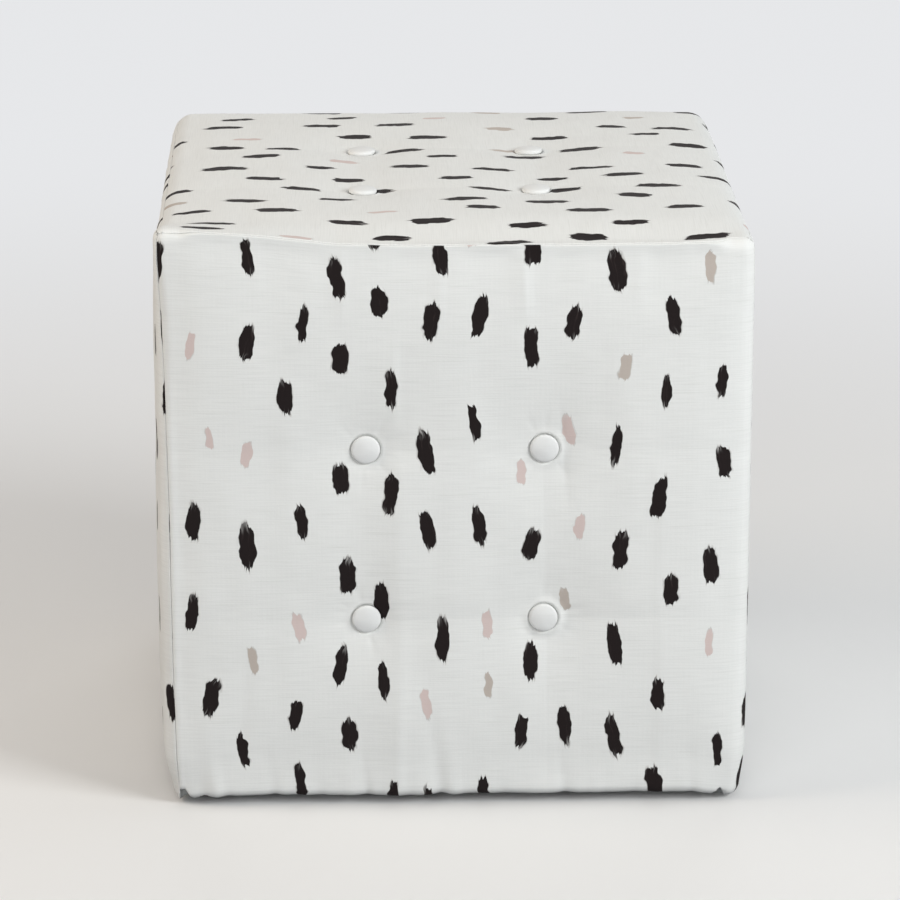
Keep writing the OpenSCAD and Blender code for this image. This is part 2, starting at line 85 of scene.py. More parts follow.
# The padding thins towards a seam: how much in millimetres, up an upright seam and at the top
EDGE_FALL = [(0, 2.7), (370, 2.7), (445, 1.2)]
FRONT_RIGHT_FALL = [(0, 1.0), (60, 0.6), (110, 0.2), (400, 0.2), (445, 1.0)]
TOP_EDGE_FALL = 0.7
EDGE_FALL_REACH = 44.0 * MM


# Camera, fitted to the corners and edges in the photograph
LENS = 166.9
CAMERA_AT = (-0.087, -3.280, 1.228)
CAMERA_DOWN = 17.05         # degrees below the level
CAMERA_TURN = -1.56         # degrees about the upright


def set_camera():
    data = bpy.data.cameras.new("camera")
    data.lens = LENS
    data.sensor_width = 36.0
    data.clip_start, data.clip_end = 0.1, 50.0
    camera = bpy.data.objects.new("camera", data)
    bpy.context.scene.collection.objects.link(camera)
    camera.location = CAMERA_AT
    camera.rotation_euler = (math.radians(90 - CAMERA_DOWN), 0, math.radians(CAMERA_TURN))
    bpy.context.scene.camera = camera


set_camera()


# Smooth shapes
def ease(x, low, high):
    """0 below low, 1 above high and smooth between."""
    t = np.clip((x - low) / (high - low), 0, 1)
    return t * t * (3 - 2 * t)


def fade(x, low, high):
    """1 below low, 0 above high, a half cosine between."""
    t = np.clip((x - low) / (high - low), 0, 1)
    return (1 + np.cos(math.pi * t)) / 2


def waves(s, length, seed):
    """Smooth random waves along s, from -1 to 1, about one every two lengths."""
    knots = np.random.RandomState(seed).uniform(-1, 1, 256)
    place = s / length + 100
    low = np.floor(place).astype(int)
    t = place - low
    t = t * t * (3 - 2 * t)
    return knots[low % 256] * (1 - t) + knots[(low + 1) % 256] * t


def clouds(a, b, length_a, length_b, seed):
    """Smooth random swellings over a and b, from -1 to 1."""
    knots = np.random.RandomState(seed).uniform(-1, 1, (64, 64))
    pa, pb = a / length_a + 500, b / length_b + 500
    ia, ib = np.floor(pa).astype(int), np.floor(pb).astype(int)
    ta, tb = pa - ia, pb - ib
    ta, tb = ta * ta * (3 - 2 * ta), tb * tb * (3 - 2 * tb)
    at = lambda i, j: knots[i % 64, j % 64]
    low = at(ia, ib) * (1 - ta) + at(ia + 1, ib) * ta
    high = at(ia, ib + 1) * (1 - ta) + at(ia + 1, ib + 1) * ta
    return low * (1 - tb) + high * tb


def along_table(x, table):
    """A value between the rows of a table of places and values, in millimetres."""
    places, values = zip(*table)
    return np.interp(x / MM, places, values)


# Edges of the cover. Each has a radius and a seam, whose angle is measured from the
# outward direction of the first of its two panels, at places along the edge.
RADII = {
    "front_left": [(0, 15), (120, 13), (395, 13), (438, 9)],
    "front_right": [(0, 13), (395, 13), (438, 10)],
    "back_right": [(0, 14), (395, 14), (438, 17)],
    "back_left": [(0, 14), (395, 14), (438, 17)],
    "top_front": [(-208.5, 9), (-200, 2.5), (-190, 0.9), (190, 0.9), (200, 3), (208.5, 10)],
    "top_right": [(-208.5, 10), (-150, 15), (150, 15), (209, 17)],
    "top_back": [(-209, 17), (-150, 16), (150, 16), (209, 17)],
    "top_left": [(-208.5, 9), (-150, 16), (150, 16), (209, 17)],
}
SEAMS = {
    "front_left": [(0, 74), (90, 69), (270, 64), (400, 49), (430, 45)],
    "front_right": [(0, 88), (60, 88), (110, 84), (405, 84), (438, 78)],
    "back_right": [(0, 46), (200, 43), (430, 45)],
    "back_left": [(0, 44), (200, 47), (430, 45)],
    "top_front": [(-209, 45), (192, 45), (201, 34), (208.5, 12)],
    "top_right": [(-205, 45), (-160, 70), (150, 72), (205, 45)],
    "top_back": [(-209, 45), (209, 45)],
    "top_left": [(-209, 45), (-170, 48), (170, 48), (209, 45)],
}
# The upright edge at the right and at the left of each side, seen from outside
RIGHT_EDGE = {"front": "front_right", "right": "back_right", "back": "back_left", "left": "front_left"}
LEFT_EDGE = {"front": "front_left", "right": "front_right", "back": "back_right", "left": "back_left"}
# The direction across each side, to the right seen from outside, and its outward direction
WAYS = {"front": ((1, 0), (0, -1)), "right": ((0, 1), (1, 0)), "back": ((-1, 0), (0, 1)),
        "left": ((0, -1), (-1, 0))}


def edge_of(edge, at, first=True):
    """Radius of an edge, and the angle at which one of its panels ends."""
    angle = np.radians(along_table(at, SEAMS[edge]))
    return along_table(at, RADII[edge]) * MM, angle if first else math.pi / 2 - angle


def into_world(side, u, z, out):
    """From a side's own run, height and outward place to the row frame."""
    x, y = (u * a + out * o for a, o in zip(*WAYS[side]))
    return np.stack([x, y, z], -1)


def lines_between(low, high, cell, tufts):
    """Places from low to high, a cell apart and closer together beside the tufts."""
    if cell > CELL:
        return np.linspace(low, high, int(round((high - low) / cell)) + 1)
    fine = np.linspace(low, high, 6001)
    away = np.min([np.abs(fine - at) for at in tufts], axis=0)
    size = TUFT_CELL + (cell - TUFT_CELL) * ease(away, *FINE_LINES)
    count = np.concatenate([[0], np.cumsum(np.diff(fine) / size[1:])])
    return np.interp(np.linspace(0, count[-1], int(round(count[-1])) + 1), count, fine)


def band_shares(cell):
    """Lines over a band, closer together towards its seam."""
    count = max(2, int(round(BAND_CELLS * CELL / cell)))
    return 1 - (1 - np.arange(1, count + 1) / count) ** 1.7


def lines_across(cell):
    """Lines that a panel is set out on: the place on the flat, and the share of a band."""
    flat = lines_between(-(HALF - BAND), HALF - BAND, cell, (-TUFT, TUFT))
    shares = band_shares(cell)
    bands = len(shares)
    place = np.concatenate([np.full(bands, flat[0]), flat, np.full(bands, flat[-1])])
    share = np.concatenate([-shares[::-1], np.zeros(len(flat)), shares])
    return place, share


def round_band(share, radius, angle):
    """How far a line lies along the straight of its band, its turn and its arc length."""
    straight = BAND - radius
    run = np.abs(share) * (straight + radius * angle)
    turn = np.maximum(0, run - straight) / radius
    return np.sign(share) * np.minimum(run, straight), np.sign(share) * turn, np.sign(share) * run


def band_length(radius, angle):
    """How much cloth a whole band takes: its straight and its turn."""
    return BAND - radius + radius * angle


def unit(v):
    return v / np.linalg.norm(v, axis=-1, keepdims=True)


def tuft_form(u, v, crown, seat, valley, under):
    """Height of a panel over its flat, with its four tufts at plus and minus TUFT. The cloth
    stands at the seat beside a button and goes in under its rim."""
    draw, tucked, shell, run = (np.zeros_like(u) for _ in range(4))
    for cu in (-TUFT, TUFT):
        run = np.maximum(run, fade(np.abs(u - cu), 0, VALLEY_REACH)
                         * fade(np.abs(v), TUFT, TUFT + VALLEY_REACH))
        for cv in (-TUFT, TUFT):
            r = np.hypot(u - cu, v - cv)
            draw = np.maximum(draw, 0.8 * fade(r, *DRAW_WIDE) + 0.2 * fade(r, *DRAW_NEAR))
            tucked = np.maximum(tucked, fade(r, *TUCKED))
            shell = np.maximum(shell, fade(r, *SHELL))
    level = crown - valley * run
    level = level + (seat - level) * draw
    return level + (under - level) * tucked - SHELL_ROOM * shell


def crown_at(x, half):
    return 1 - np.clip(np.abs(x) / half, 0, 1) ** 2.4


class Panel:
    """One panel of the cover: a grid of points with its outward directions, flat places
    across and up, and distances to its seams."""

    def __init__(self, place, cell):
        self.place = place
        if place == "top":
            self.set_top(cell)
        else:
            self.set_side(cell)

    def set_top(self, cell):
        place, share = lines_across(cell)
        y0, x0 = np.meshgrid(place, place, indexing="ij")
        sy, sx = np.meshgrid(share, share, indexing="ij")
        right, right_turn = edge_of("top_right", y0)
        left, left_turn = edge_of("top_left", y0)
        back, back_turn = edge_of("top_back", x0)
        front, front_turn = edge_of("top_front", x0)
        ru, au = np.where(sx > 0, right, left), np.where(sx > 0, right_turn, left_turn)
        rv, av = np.where(sy > 0, back, front), np.where(sy > 0, back_turn, front_turn)
        ax, tx, run_x = round_band(sx, ru, au)
        ay, ty, run_y = round_band(sy, rv, av)
        radius = np.where(sx != 0, ru, rv)
        n = unit(np.stack([np.tan(tx), np.tan(ty), np.ones_like(tx)], -1))
        out = TOP_Z - radius + radius * n[..., 2]
        self.point = np.stack([x0 + ax + radius * n[..., 0], y0 + ay + radius * n[..., 1], out], -1)
        self.normal = n
        self.u, self.v = x0 + run_x, y0 + run_y
        rise = TOP_CROWN * crown_at(x0 + ax, HALF - BAND / 2) * crown_at(y0 + ay, HALF - BAND / 2)
        self.swell = tuft_form(self.u, self.v, rise, TOP_SEAT, TOP_VALLEY, TOP_UNDER)
        self.swell *= (1 - ease(np.abs(sx), 0, 1)) * (1 - ease(np.abs(sy), 0, 1))
        self.seam = {
            "top_right": (HALF - BAND + band_length(right, right_turn) - self.u, y0 + ay),
            "top_left": (HALF - BAND + band_length(left, left_turn) + self.u, y0 + ay),
            "top_back": (HALF - BAND + band_length(back, back_turn) - self.v, x0 + ax),
            "top_front": (HALF - BAND + band_length(front, front_turn) + self.v, x0 + ax)}
        self.rows_at = self.cols_at = place + share * BAND

    def set_side(self, cell):
        side = self.place
        place, share = lines_across(cell)
        fine = cell <= CELL
        turn_cells, hem_cells = (TURN_CELLS, HEM_CELLS) if fine else (2, 4)
        top = TOP_Z - BAND
        flat = lines_between(TURN_Z, top, cell, (TUFT_MID_Z - TUFT, TUFT_MID_Z + TUFT))
        shares = band_shares(cell)
        bands = len(shares)
        z0 = np.concatenate([np.full(hem_cells + turn_cells, TURN_Z), flat, np.full(bands, top)])
        sv = np.concatenate([np.zeros(hem_cells + turn_cells + len(flat)), shares])
        under = np.concatenate([np.full(hem_cells, 1.0),
                                np.arange(turn_cells, 0, -1) / turn_cells,
                                np.zeros(len(flat) + bands)])
        hem = np.concatenate([np.arange(hem_cells, 0, -1) / hem_cells,
                              np.zeros(turn_cells + len(flat) + bands)])
        self.rows_at = z0 + sv * BAND - under * BAND - hem * HEM_IN
        self.cols_at = place + share * BAND
        grid = lambda rows: np.repeat(rows[:, None], len(place), 1)
        z0, sv, under, hem = grid(z0), grid(sv), grid(under), grid(hem)
        x0 = np.repeat(place[None, :], len(z0), 0)
        sx = np.repeat(share[None, :], len(z0), 0)
        world_x = x0 if side in ("front", "right") else -x0
        right, right_turn = edge_of(RIGHT_EDGE[side], z0)
        left, left_turn = edge_of(LEFT_EDGE[side], z0, first=False)
        above, above_turn = edge_of("top_" + side, world_x, first=False)
        ru, au = np.where(sx > 0, right, left), np.where(sx > 0, right_turn, left_turn)
        ax, tx, run_x = round_band(sx, ru, au)
        az, tz, run_z = round_band(sv, above, above_turn)
        radius = np.where(sx != 0, ru, above)
        n = unit(np.stack([np.tan(tx), np.tan(tz), np.ones_like(tx)], -1))
        x, z = x0 + ax + radius * n[..., 0], z0 + az + radius * n[..., 1]
        out = HALF - radius + radius * n[..., 2]
        # The turn at the base, and the hem drawn in under it
        base_r = TURN_Z - BASE_Z
        chi = under * math.pi / 2
        h = unit(np.stack([np.tan(tx), np.ones_like(tx)], -1))
        shell = np.where(sx != 0, ru, base_r)
        reach = shell - base_r + base_r * np.cos(chi)
        low = under > 0
        x = np.where(low, x0 + ax + reach * h[..., 0], x)
        out = np.where(low, HALF - shell + reach * h[..., 1], out)
        z = np.where(low, TURN_Z - base_r * np.sin(chi), z)
        n_low = np.stack([h[..., 0] * np.cos(chi), -np.sin(chi), h[..., 1] * np.cos(chi)], -1)
        n = np.where(low[..., None], n_low, n)
        to_right = HALF - BAND + band_length(right, right_turn)
        to_left = HALF - BAND + band_length(left, left_turn)
        share_x = (x0 + run_x) / np.where(x0 + run_x > 0, to_right, to_left)
        x = x + hem * (share_x * (HALF - HEM_IN) - x)
        out = out + hem * (HALF - HEM_IN - out)
        self.point = into_world(side, x, z, out)
        self.normal = unit(into_world(side, n[..., 0], n[..., 1], n[..., 2]))
        self.u = x0 + run_x
        self.v = z0 + run_z - under * base_r * math.pi / 2 - hem * (HEM_IN - base_r)
        middle = (TURN_Z + top) / 2
        rise = SIDE_CROWN * crown_at(x0 + ax, HALF - BAND / 2) * crown_at(z0 - middle, top - middle)
        self.swell = tuft_form(self.u, self.v - TUFT_MID_Z, rise, SIDE_SEAT, SIDE_VALLEY, SIDE_UNDER)
        self.swell *= (1 - ease(np.abs(sx), 0, 1)) * (1 - ease(sv, 0, 1)) * (1 - ease(under, 0, 1))
        along = (x0 + ax) * (1 if side in ("front", "right") else -1)
        self.seam = {
            RIGHT_EDGE[side]: (to_right - self.u, z),
            LEFT_EDGE[side]: (to_left + self.u, z),
            "top_" + side: (top + band_length(above, above_turn) - self.v, along)}
        self.hem = hem

    def from_seams(self):
        """Distance of every point to the nearest seam, along the cloth."""
        return np.min([d for d, _ in self.seam.values()], axis=0)


def panel_seed(place):
    return 10 * (1 + PLACES.index(place))


# Shifts that all panels share, so that their seams stay together: the front top edge
# sags between its corners, and the hem hangs lower and narrower at the corners
FRONT_EDGE_SHIFT = [(-228, 8.8), (-215, 8.6), (-192, 6.8), (-155, 4.6), (-140, 3.2), (-116, 0.2), (-89, -2.8),
                    (-37, -4.2), (-4, -4.0), (50, -3.8), (104, -4.2), (166, -3.8), (200, -2.6), (228, -1.0)]
CORNER_DROP = 4.6 * MM
CORNER_DROP_REACH = 52 * MM
CORNER_TUCK = 4.2 * MM
CORNER_NARROW = (7.8 * MM, 4.0 * MM)    # at the left and at the right


def shared_shift(p):
    x, y, z = p[..., 0], p[..., 1], p[..., 2]
    shift = np.zeros_like(p)
    near_front = 1 - ease(y, -HALF + 4 * MM, -HALF + 62 * MM)
    shift[..., 2] += (along_table(x, FRONT_EDGE_SHIFT) * MM * near_front
                      * ease(z, TOP_Z - 72 * MM, TOP_Z - 4 * MM))
    away = np.hypot(HALF - np.abs(x), HALF - np.abs(y))
    corner = 1 - ease(away, 6 * MM, CORNER_DROP_REACH)
    shift[..., 2] -= CORNER_DROP * corner * (1 - ease(z, 14 * MM, 60 * MM))
    low = 1 - ease(z, 6 * MM, 48 * MM)
    narrow = np.where(x < 0, *CORNER_NARROW) * low * (1 - ease(away, 4 * MM, 110 * MM))
    tuck = CORNER_TUCK * low * (1 - ease(away, 4 * MM, 40 * MM))
    shift[..., 0] -= np.sign(x) * narrow * ease(np.abs(x), HALF - 14 * MM, HALF)
    shift[..., 1] -= np.sign(y) * tuck * ease(np.abs(y), HALF - 60 * MM, HALF - 14 * MM)
    return shift


# Which way each edge faces: across, in depth and up
EDGE_WAYS = {
    "front_left": (-1, -1, 0), "front_right": (1, -1, 0), "back_right": (1, 1, 0), "back_left": (-1, 1, 0),
    "top_front": (0, -1, 1), "top_right": (1, 0, 1), "top_back": (0, 1, 1), "top_left": (-1, 0, 1)}


def seam_shift(p):
    """How the edges fall in and pucker along their seams, the same for all panels."""
    shift = np.zeros_like(p)
    for number, (edge, way) in enumerate(sorted(EDGE_WAYS.items())):
        gaps = [(TOP_Z if k == 2 else HALF) - w * p[..., k] for k, w in enumerate(way) if w]
        at = p[..., way.index(0)]
        away = np.hypot(*gaps)
        upright = FRONT_RIGHT_FALL if edge == "front_right" else EDGE_FALL
        most = TOP_EDGE_FALL if edge.startswith("top_") else along_table(at, upright)
        wave = 0.2 * waves(at, 7 * MM, 900 + number) + 0.36 * waves(at, 19 * MM, 930 + number)
        out = MM * (wave * np.exp(-away / (9 * MM)) - most * np.clip(1 - away / EDGE_FALL_REACH, 0, 1) ** 2)
        shift += out[..., None] * np.array(way) / math.sqrt(2)
    return shift


# Folds and gathers of each panel, in millimetres. A fold is a sharp line that runs up the
# panel through places of height and run, with a soft slope of its own width on each side:
# its line, the width before and after it, its height, and the heights it shows between
def straight(run, low, high, before, after, height):
    return [(high, run), (low, run)], before, after, height, low, high


FOLDS = {
    "front": [([(300, -44), (150, -42), (0, -44)], 30, 60, 1.8, 0, 300),
              ([(168, -42), (0, -44)], 26, 11, 0.9, 0, 165),
              ([(392, -46), (305, -44)], 26, 5, 0.8, 308, 392),
              ([(285, 68), (150, 71), (0, 73)], 36, 62, -1.7, 15, 290),
              ([(330, 80), (250, 87)], 10, 6, -0.7, 248, 330),
              ([(290, 152), (250, 158), (0, 160)], 8, 45, 0.7, 0, 290),
              straight(-85, 398, 475, 14, 7, 1.0), straight(-12, 394, 475, 10, 6, 0.95),
              straight(53, 400, 475, 14, 8, 1.0), straight(141, 408, 475, 10, 8, 0.6),
              straight(-150, 410, 475, 12, 10, 0.5), ([(140, -162), (30, -168)], 18, 15, -0.8, 35, 140)],
    "right": [([(300, 44), (0, 46)], 60, 30, 1.4, 0, 300), ([(280, -70), (0, -74)], 46, 36, -1.3, 15, 285),
              straight(-150, 30, 300, 40, 8, 0.7), straight(-40, 396, 475, 8, 13, 1.0),
              straight(70, 400, 475, 13, 8, 0.95), straight(150, 410, 475, 10, 9, 0.6)],
    "back": [([(300, -42), (0, -40)], 32, 60, 1.4, 0, 300), ([(280, 66), (0, 70)], 40, 48, -1.3, 15, 285),
             straight(148, 20, 260, 9, 40, 0.65), straight(-96, 398, 475, 13, 8, 0.9),
             straight(20, 396, 475, 10, 7, 1.0), straight(110, 406, 475, 11, 9, 0.7)],
    "left": [([(300, 43), (0, 41)], 58, 32, 1.5, 0, 300), ([(280, -67), (0, -72)], 44, 38, -1.4, 15, 285),
             straight(-158, 20, 270, 42, 8, 0.7), straight(-60, 398, 475, 8, 13, 0.95),
             straight(32, 395, 475, 13, 7, 1.0), straight(128, 405, 475, 9, 10, 0.7)],
    "top": [],
}
# Level creases through the two rows of tufts: how deep they are along the run
CREASE_DEPTH = 1.0 * MM
CREASES = {
    "front": ([(-228, 0.3), (-69, 0.5), (-66, 1.2), (-40, 0.9), (40, 0.5), (72, 1.3), (112, 0.9), (150, 0.4)],
              [(-228, 0.2), (-69, 0.3), (-66, 1.2), (-40, 1.2), (-20, 0.3), (60, 0.3), (75, 0.8),
               (110, 0.4)]),
    "right": ([(-228, 0.5), (-60, 1.1), (-30, 0.4), (228, 0.5)],
              [(-228, 0.3), (60, 0.4), (72, 1.1), (110, 0.3)]),
    "back": ([(-110, 0.3), (-72, 1.1), (-40, 0.5), (228, 0.4)],
             [(-228, 0.4), (40, 0.3), (66, 1.2), (100, 0.4)]),
    "left": ([(-228, 0.4), (60, 0.4), (70, 1.2), (120, 0.5)],
             [(-110, 0.4), (-70, 1.1), (-30, 0.3), (228, 0.4)]),
    "top": ([(-228, 0.4), (-60, 0.9), (60, 0.7), (228, 0.4)],
            [(-228, 0.3), (-70, 0.7), (70, 1.0), (228, 0.4)]),
}
# Puckers over the turn at the foot: place, half width, depth (less than 0 stands out) and reach up
HEM_PUCKERS = {
    "front": [(-198, 6, 1.1, 22), (-186, 5, -1.5, 26), (-141, 4, 0.9, 18), (-104, 5, 0.5, 16),
              (-68, 4, 0.8, 22), (-11, 5, 1.7, 44), (0, 5, -0.6, 36), (38, 5, 0.5, 18), (86, 5, 1.1, 26),
              (112, 5, -0.4, 22), (142, 5, 0.5, 18), (187, 5, 0.9, 22)],
    "right": [(-190, 6, 1.0, 22), (-130, 5, 0.8, 24), (-52, 5, 1.2, 36), (-40, 5, -0.5, 30), (24, 4, 0.7, 18),
              (92, 5, 1.0, 28), (160, 5, 0.9, 20), (192, 6, -0.9, 22)],
    "back": [(-186, 6, 1.0, 24), (-118, 5, 0.9, 22), (-34, 5, 0.7, 20), (28, 5, 1.3, 38), (98, 5, 0.9, 24),
             (176, 6, 1.1, 22), (190, 5, -0.8, 24)],
    "left": [(-188, 6, 1.0, 24), (-96, 5, 1.1, 32), (-20, 5, 0.8, 20), (56, 5, 1.0, 30), (68, 5, -0.5, 26),
             (132, 5, 0.8, 20), (186, 6, 1.1, 22)],
}


def sharp_line(t, before, after):
    """1 on a sharp line at t = 0, with soft slopes of the given widths before and after it."""
    return np.clip(1 - np.abs(t) / (np.where(t < 0, before, after) * MM), 0, 1) ** 1.6


def folds_of(panel):
    """Rise of the folds, gathers and puckers that a panel has by itself."""
    place, u, v = panel.place, panel.u, panel.v
    seed = panel_seed(place)
    rise = 0.5 * MM * clouds(u, v, 70 * MM, 55 * MM, seed)
    rise += 0.12 * MM * clouds(u, v, 17 * MM, 13 * MM, seed + 9)
    for number, (line, before, after, height, low, high) in enumerate(FOLDS[place]):
        heights, runs = zip(*sorted(line))
        at = np.interp(v / MM, heights, runs) * MM + 1.2 * MM * waves(v, 45 * MM, seed + 30 + number)
        shown = ease(v, (low - 12) * MM, (low + 18) * MM) * (1 - ease(v, (high - 26) * MM, (high + 4) * MM))
        wander = 0.85 + 0.3 * waves(v, 60 * MM, seed + 50 + number)
        rise += height * MM * wander * shown * sharp_line(u - at, before, after)
    middle = 0 if place == "top" else TUFT_MID_Z
    for row, depths in zip((-TUFT, TUFT), CREASES[place]):
        at = middle + row + 1.0 * MM * waves(u, 40 * MM, seed + int(row / MM) + 200)
        rise -= CREASE_DEPTH * along_table(u, depths) * sharp_line(v - at, 30, 20)
    if place == "top":
        away, at = panel.seam["top_front"]
        rise += 0.35 * MM * waves(at, 11 * MM, seed + 1) * np.exp(-away / (22 * MM))
        rise += 0.25 * MM * clouds(u, v, 40 * MM, 18 * MM, seed + 2)
    else:
        away, _ = panel.seam["top_" + place]
        gather = 0.55 * waves(u, 8 * MM, seed + 3) + 0.45 * waves(u, 17 * MM, seed + 4)
        rise += 0.45 * MM * gather * ease(away, 0, 9 * MM) * np.exp(-away / (26 * MM))
        up = v - (TURN_Z - 6 * MM)
        lean = u + 0.12 * up
        gather = 0.5 * waves(lean, 9 * MM, seed + 5) + 0.6 * waves(lean, 21 * MM, seed + 6)
        rise += 0.6 * MM * gather * np.exp(-np.abs(up) / (22 * MM))
        for at, width, depth, reach in HEM_PUCKERS[place]:
            shape = np.exp(-((lean - at * MM) / (width * MM)) ** 2)
            rise -= depth * MM * shape * np.exp(-np.abs(up) / (reach * MM))
        rise += 0.3 * MM * waves(u, 28 * MM, seed + 7) * ease(v, 20 * MM, 90 * MM)
    # Creases that run out from the buttons
    seat = np.full(u.shape, 1.0)
    for number, (cu, cv) in enumerate([(-TUFT, -TUFT), (TUFT, -TUFT), (-TUFT, TUFT), (TUFT, TUFT)]):
        dv = v - cv - middle
        r, turn = np.hypot(u - cu, dv), np.arctan2(dv, u - cu)
        seat = np.minimum(seat, r)
        spokes = np.random.RandomState(seed + 20 + number).uniform(0, 2 * math.pi, 9)
        ray = sum(np.exp(-((np.angle(np.exp(1j * (turn - a)))) / 0.11) ** 2) for a in spokes)
        rise -= 0.22 * MM * ray * ease(r, 12 * MM, 17 * MM) * (1 - ease(r, 19 * MM, 40 * MM))
    return rise * ease(panel.from_seams(), 0.3 * MM, 11 * MM) * ease(seat, 11 * MM, 19 * MM)


# Slits and notches where the hem is folded in at the corners. A slit stands on an upright
# seam: its height, and its full and its sloping width on the first and the second panel of
# the seam. A notch stands in a panel: its place, its width on each side and its height
SLITS = {"front_left": (11.5, (0.0, 2.9), (6.3, 5.0)), "front_right": (5.0, (0.0, 4.8), (0.0, 4.8)),
         "back_right": (9.0, (1.0, 3.6), (3.2, 4.6)), "back_left": (9.5, (3.4, 4.6), (0.6, 3.4))}
NOTCHES = {"front": (208.5, 6.2, 3.3, 8.5), "right": (203, 3.2, 5.4, 7.0),
           "back": (-206, 5.0, 3.4, 7.5), "left": (-202, 4.0, 4.6, 6.5)}


def notch_lift(panel, point):
    """Lifts the foot of a side's cloth where it is slit or notched."""
    z = point[..., 2]
    lift = np.zeros_like(z)
    for edge, which in ((RIGHT_EDGE[panel.place], 1), (LEFT_EDGE[panel.place], 2)):
        away, _ = panel.seam[edge]
        full, slope = SLITS[edge][which]
        lift = np.maximum(lift, SLITS[edge][0] * MM * np.clip(1 - (away - full * MM) / (slope * MM), 0, 1))
    at, before, after, height = NOTCHES[panel.place]
    t = panel.u - at * MM
    width = np.where(t < 0, before, after) * MM
    lift = np.maximum(lift, height * MM * np.clip(1 - np.abs(t) / width, 0, 1))
    lift = lift * (1 - ease(panel.hem, 0.45, 0.9))
    point = point.copy()
    point[..., 2] = np.where(lift > 0, np.maximum(z, BASE_Z + lift), z)
    return point


# Settling the cloth: each panel is a little wider than its place and held at its seams and
# tufts. A weak hold and a light pressure stand for the wadding, so it buckles into soft folds
SETTLE_CELL = 8.0 * MM
SETTLE_FRAMES = 18
SETTLE_CAP = 2.6 * MM
FULLNESS = 1.018
WEAK_HOLD = 0.06            # how strongly the wadding holds the cloth where it is free


def mesh_object(name, points, faces):
    mesh = bpy.data.meshes.new(name)
    mesh.from_pydata([tuple(p) for p in points], [], [tuple(int(i) for i in f) for f in faces])
    mesh.update()
    piece = bpy.data.objects.new(name, mesh)
    bpy.context.scene.collection.objects.link(piece)
    return piece


def grid_faces(rows, cols, flip=False, first=0):
    a = first + np.arange(rows - 1)[:, None] * cols + np.arange(cols - 1)[None, :]
    quads = np.stack([a, a + 1, a + cols + 1, a + cols], -1).reshape(-1, 4)
    return quads[:, ::-1] if flip else quads


def read_points(mesh):
    co = np.zeros(len(mesh.vertices) * 3)
    mesh.vertices.foreach_get("co", co)
    return co.reshape(-1, 3)


def settle(panel):
    """How far the cloth of a coarse panel moves when it settles."""
    rows, cols = panel.u.shape
    seed = panel_seed(panel.place)
    start = panel.point + panel.normal * (panel.swell + 0.4 * MM * clouds(
        panel.u, panel.v, 16 * MM, 60 * MM, seed + 60))[..., None]
    piece = mesh_object("settling", start.reshape(-1, 3), grid_faces(rows, cols))
    piece.shape_key_add(name="Basis")
    rest = piece.shape_key_add(name="cut")
    wide = panel.point.copy()
    wide[..., 0 if panel.place in ("top", "front", "back") else 1] *= FULLNESS
    rest.data.foreach_set("co", wide.reshape(-1))
    rest.value = 0
    away = panel.from_seams()
    dv = panel.v - (0 if panel.place == "top" else TUFT_MID_Z)
    seat = np.hypot(np.abs(panel.u) - TUFT, np.abs(dv) - TUFT)
    free = np.minimum(ease(away, 2 * MM, 24 * MM), ease(seat, 11 * MM, 19 * MM))
    if panel.place != "top":
        free = np.minimum(free, ease(panel.v, TURN_Z, TURN_Z + 45 * MM))
    hold = 1 - (1 - WEAK_HOLD) * free
    group = piece.vertex_groups.new(name="held")
    for i, w in enumerate(hold.reshape(-1)):
        group.add([i], float(w), "REPLACE")
    cloth = piece.modifiers.new("cloth", "CLOTH")
    s = cloth.settings
    s.quality = 6
    s.mass = 0.25
    s.tension_stiffness = s.compression_stiffness = 30
    s.shear_stiffness = 10
    s.bending_stiffness = 0.6
    s.tension_damping = s.compression_damping = 8
    s.vertex_group_mass = "held"
    s.pin_stiffness = 1.0
    s.use_pressure = True
    s.uniform_pressure_force = 3.0
    s.effector_weights.gravity = 0
    s.rest_shape_key = rest
    cloth.collision_settings.use_collision = False
    cloth.point_cache.frame_start, cloth.point_cache.frame_end = 1, SETTLE_FRAMES
    scene = bpy.context.scene
    for number in range(1, SETTLE_FRAMES + 1):
        scene.frame_set(number)
    seen = piece.evaluated_get(bpy.context.evaluated_depsgraph_get())
    moved = read_points(seen.data).reshape(start.shape) - start
    bpy.data.objects.remove(piece)
    scene.frame_set(1)
    size = np.linalg.norm(moved, axis=-1, keepdims=True)
    moved *= np.minimum(1, SETTLE_CAP / np.maximum(size, 1e-9))
    return moved


def finer(values, coarse, fine):
    """Values on a coarse panel drawn smoothly over the same panel with finer lines."""
    def weights(old, new):
        place = np.interp(new, old, np.arange(len(old)))
        low = np.clip(np.floor(place).astype(int), 0, len(old) - 2)
        t = place - low
        taps = [-0.5 * t ** 3 + t ** 2 - 0.5 * t, 1.5 * t ** 3 - 2.5 * t ** 2 + 1,
                -1.5 * t ** 3 + 2 * t ** 2 + 0.5 * t, 0.5 * t ** 3 - 0.5 * t ** 2]
        matrix = np.zeros((len(new), len(old)))
        for k, tap in enumerate(taps):
            np.add.at(matrix, (np.arange(len(new)), np.clip(low + k - 1, 0, len(old) - 1)), tap)
        return matrix
    a, b = weights(coarse.rows_at, fine.rows_at), weights(coarse.cols_at, fine.cols_at)
    return np.einsum("ri,ijk,cj->rck", a, values, b)


ROLL_TURNS = np.radians([30, 60, 90])
ROLL_STEP = 0.9 * MM        # cloth between two lines of a roll
ROLL_CLOSED = 0.22          # share of its width that a roll keeps at a corner


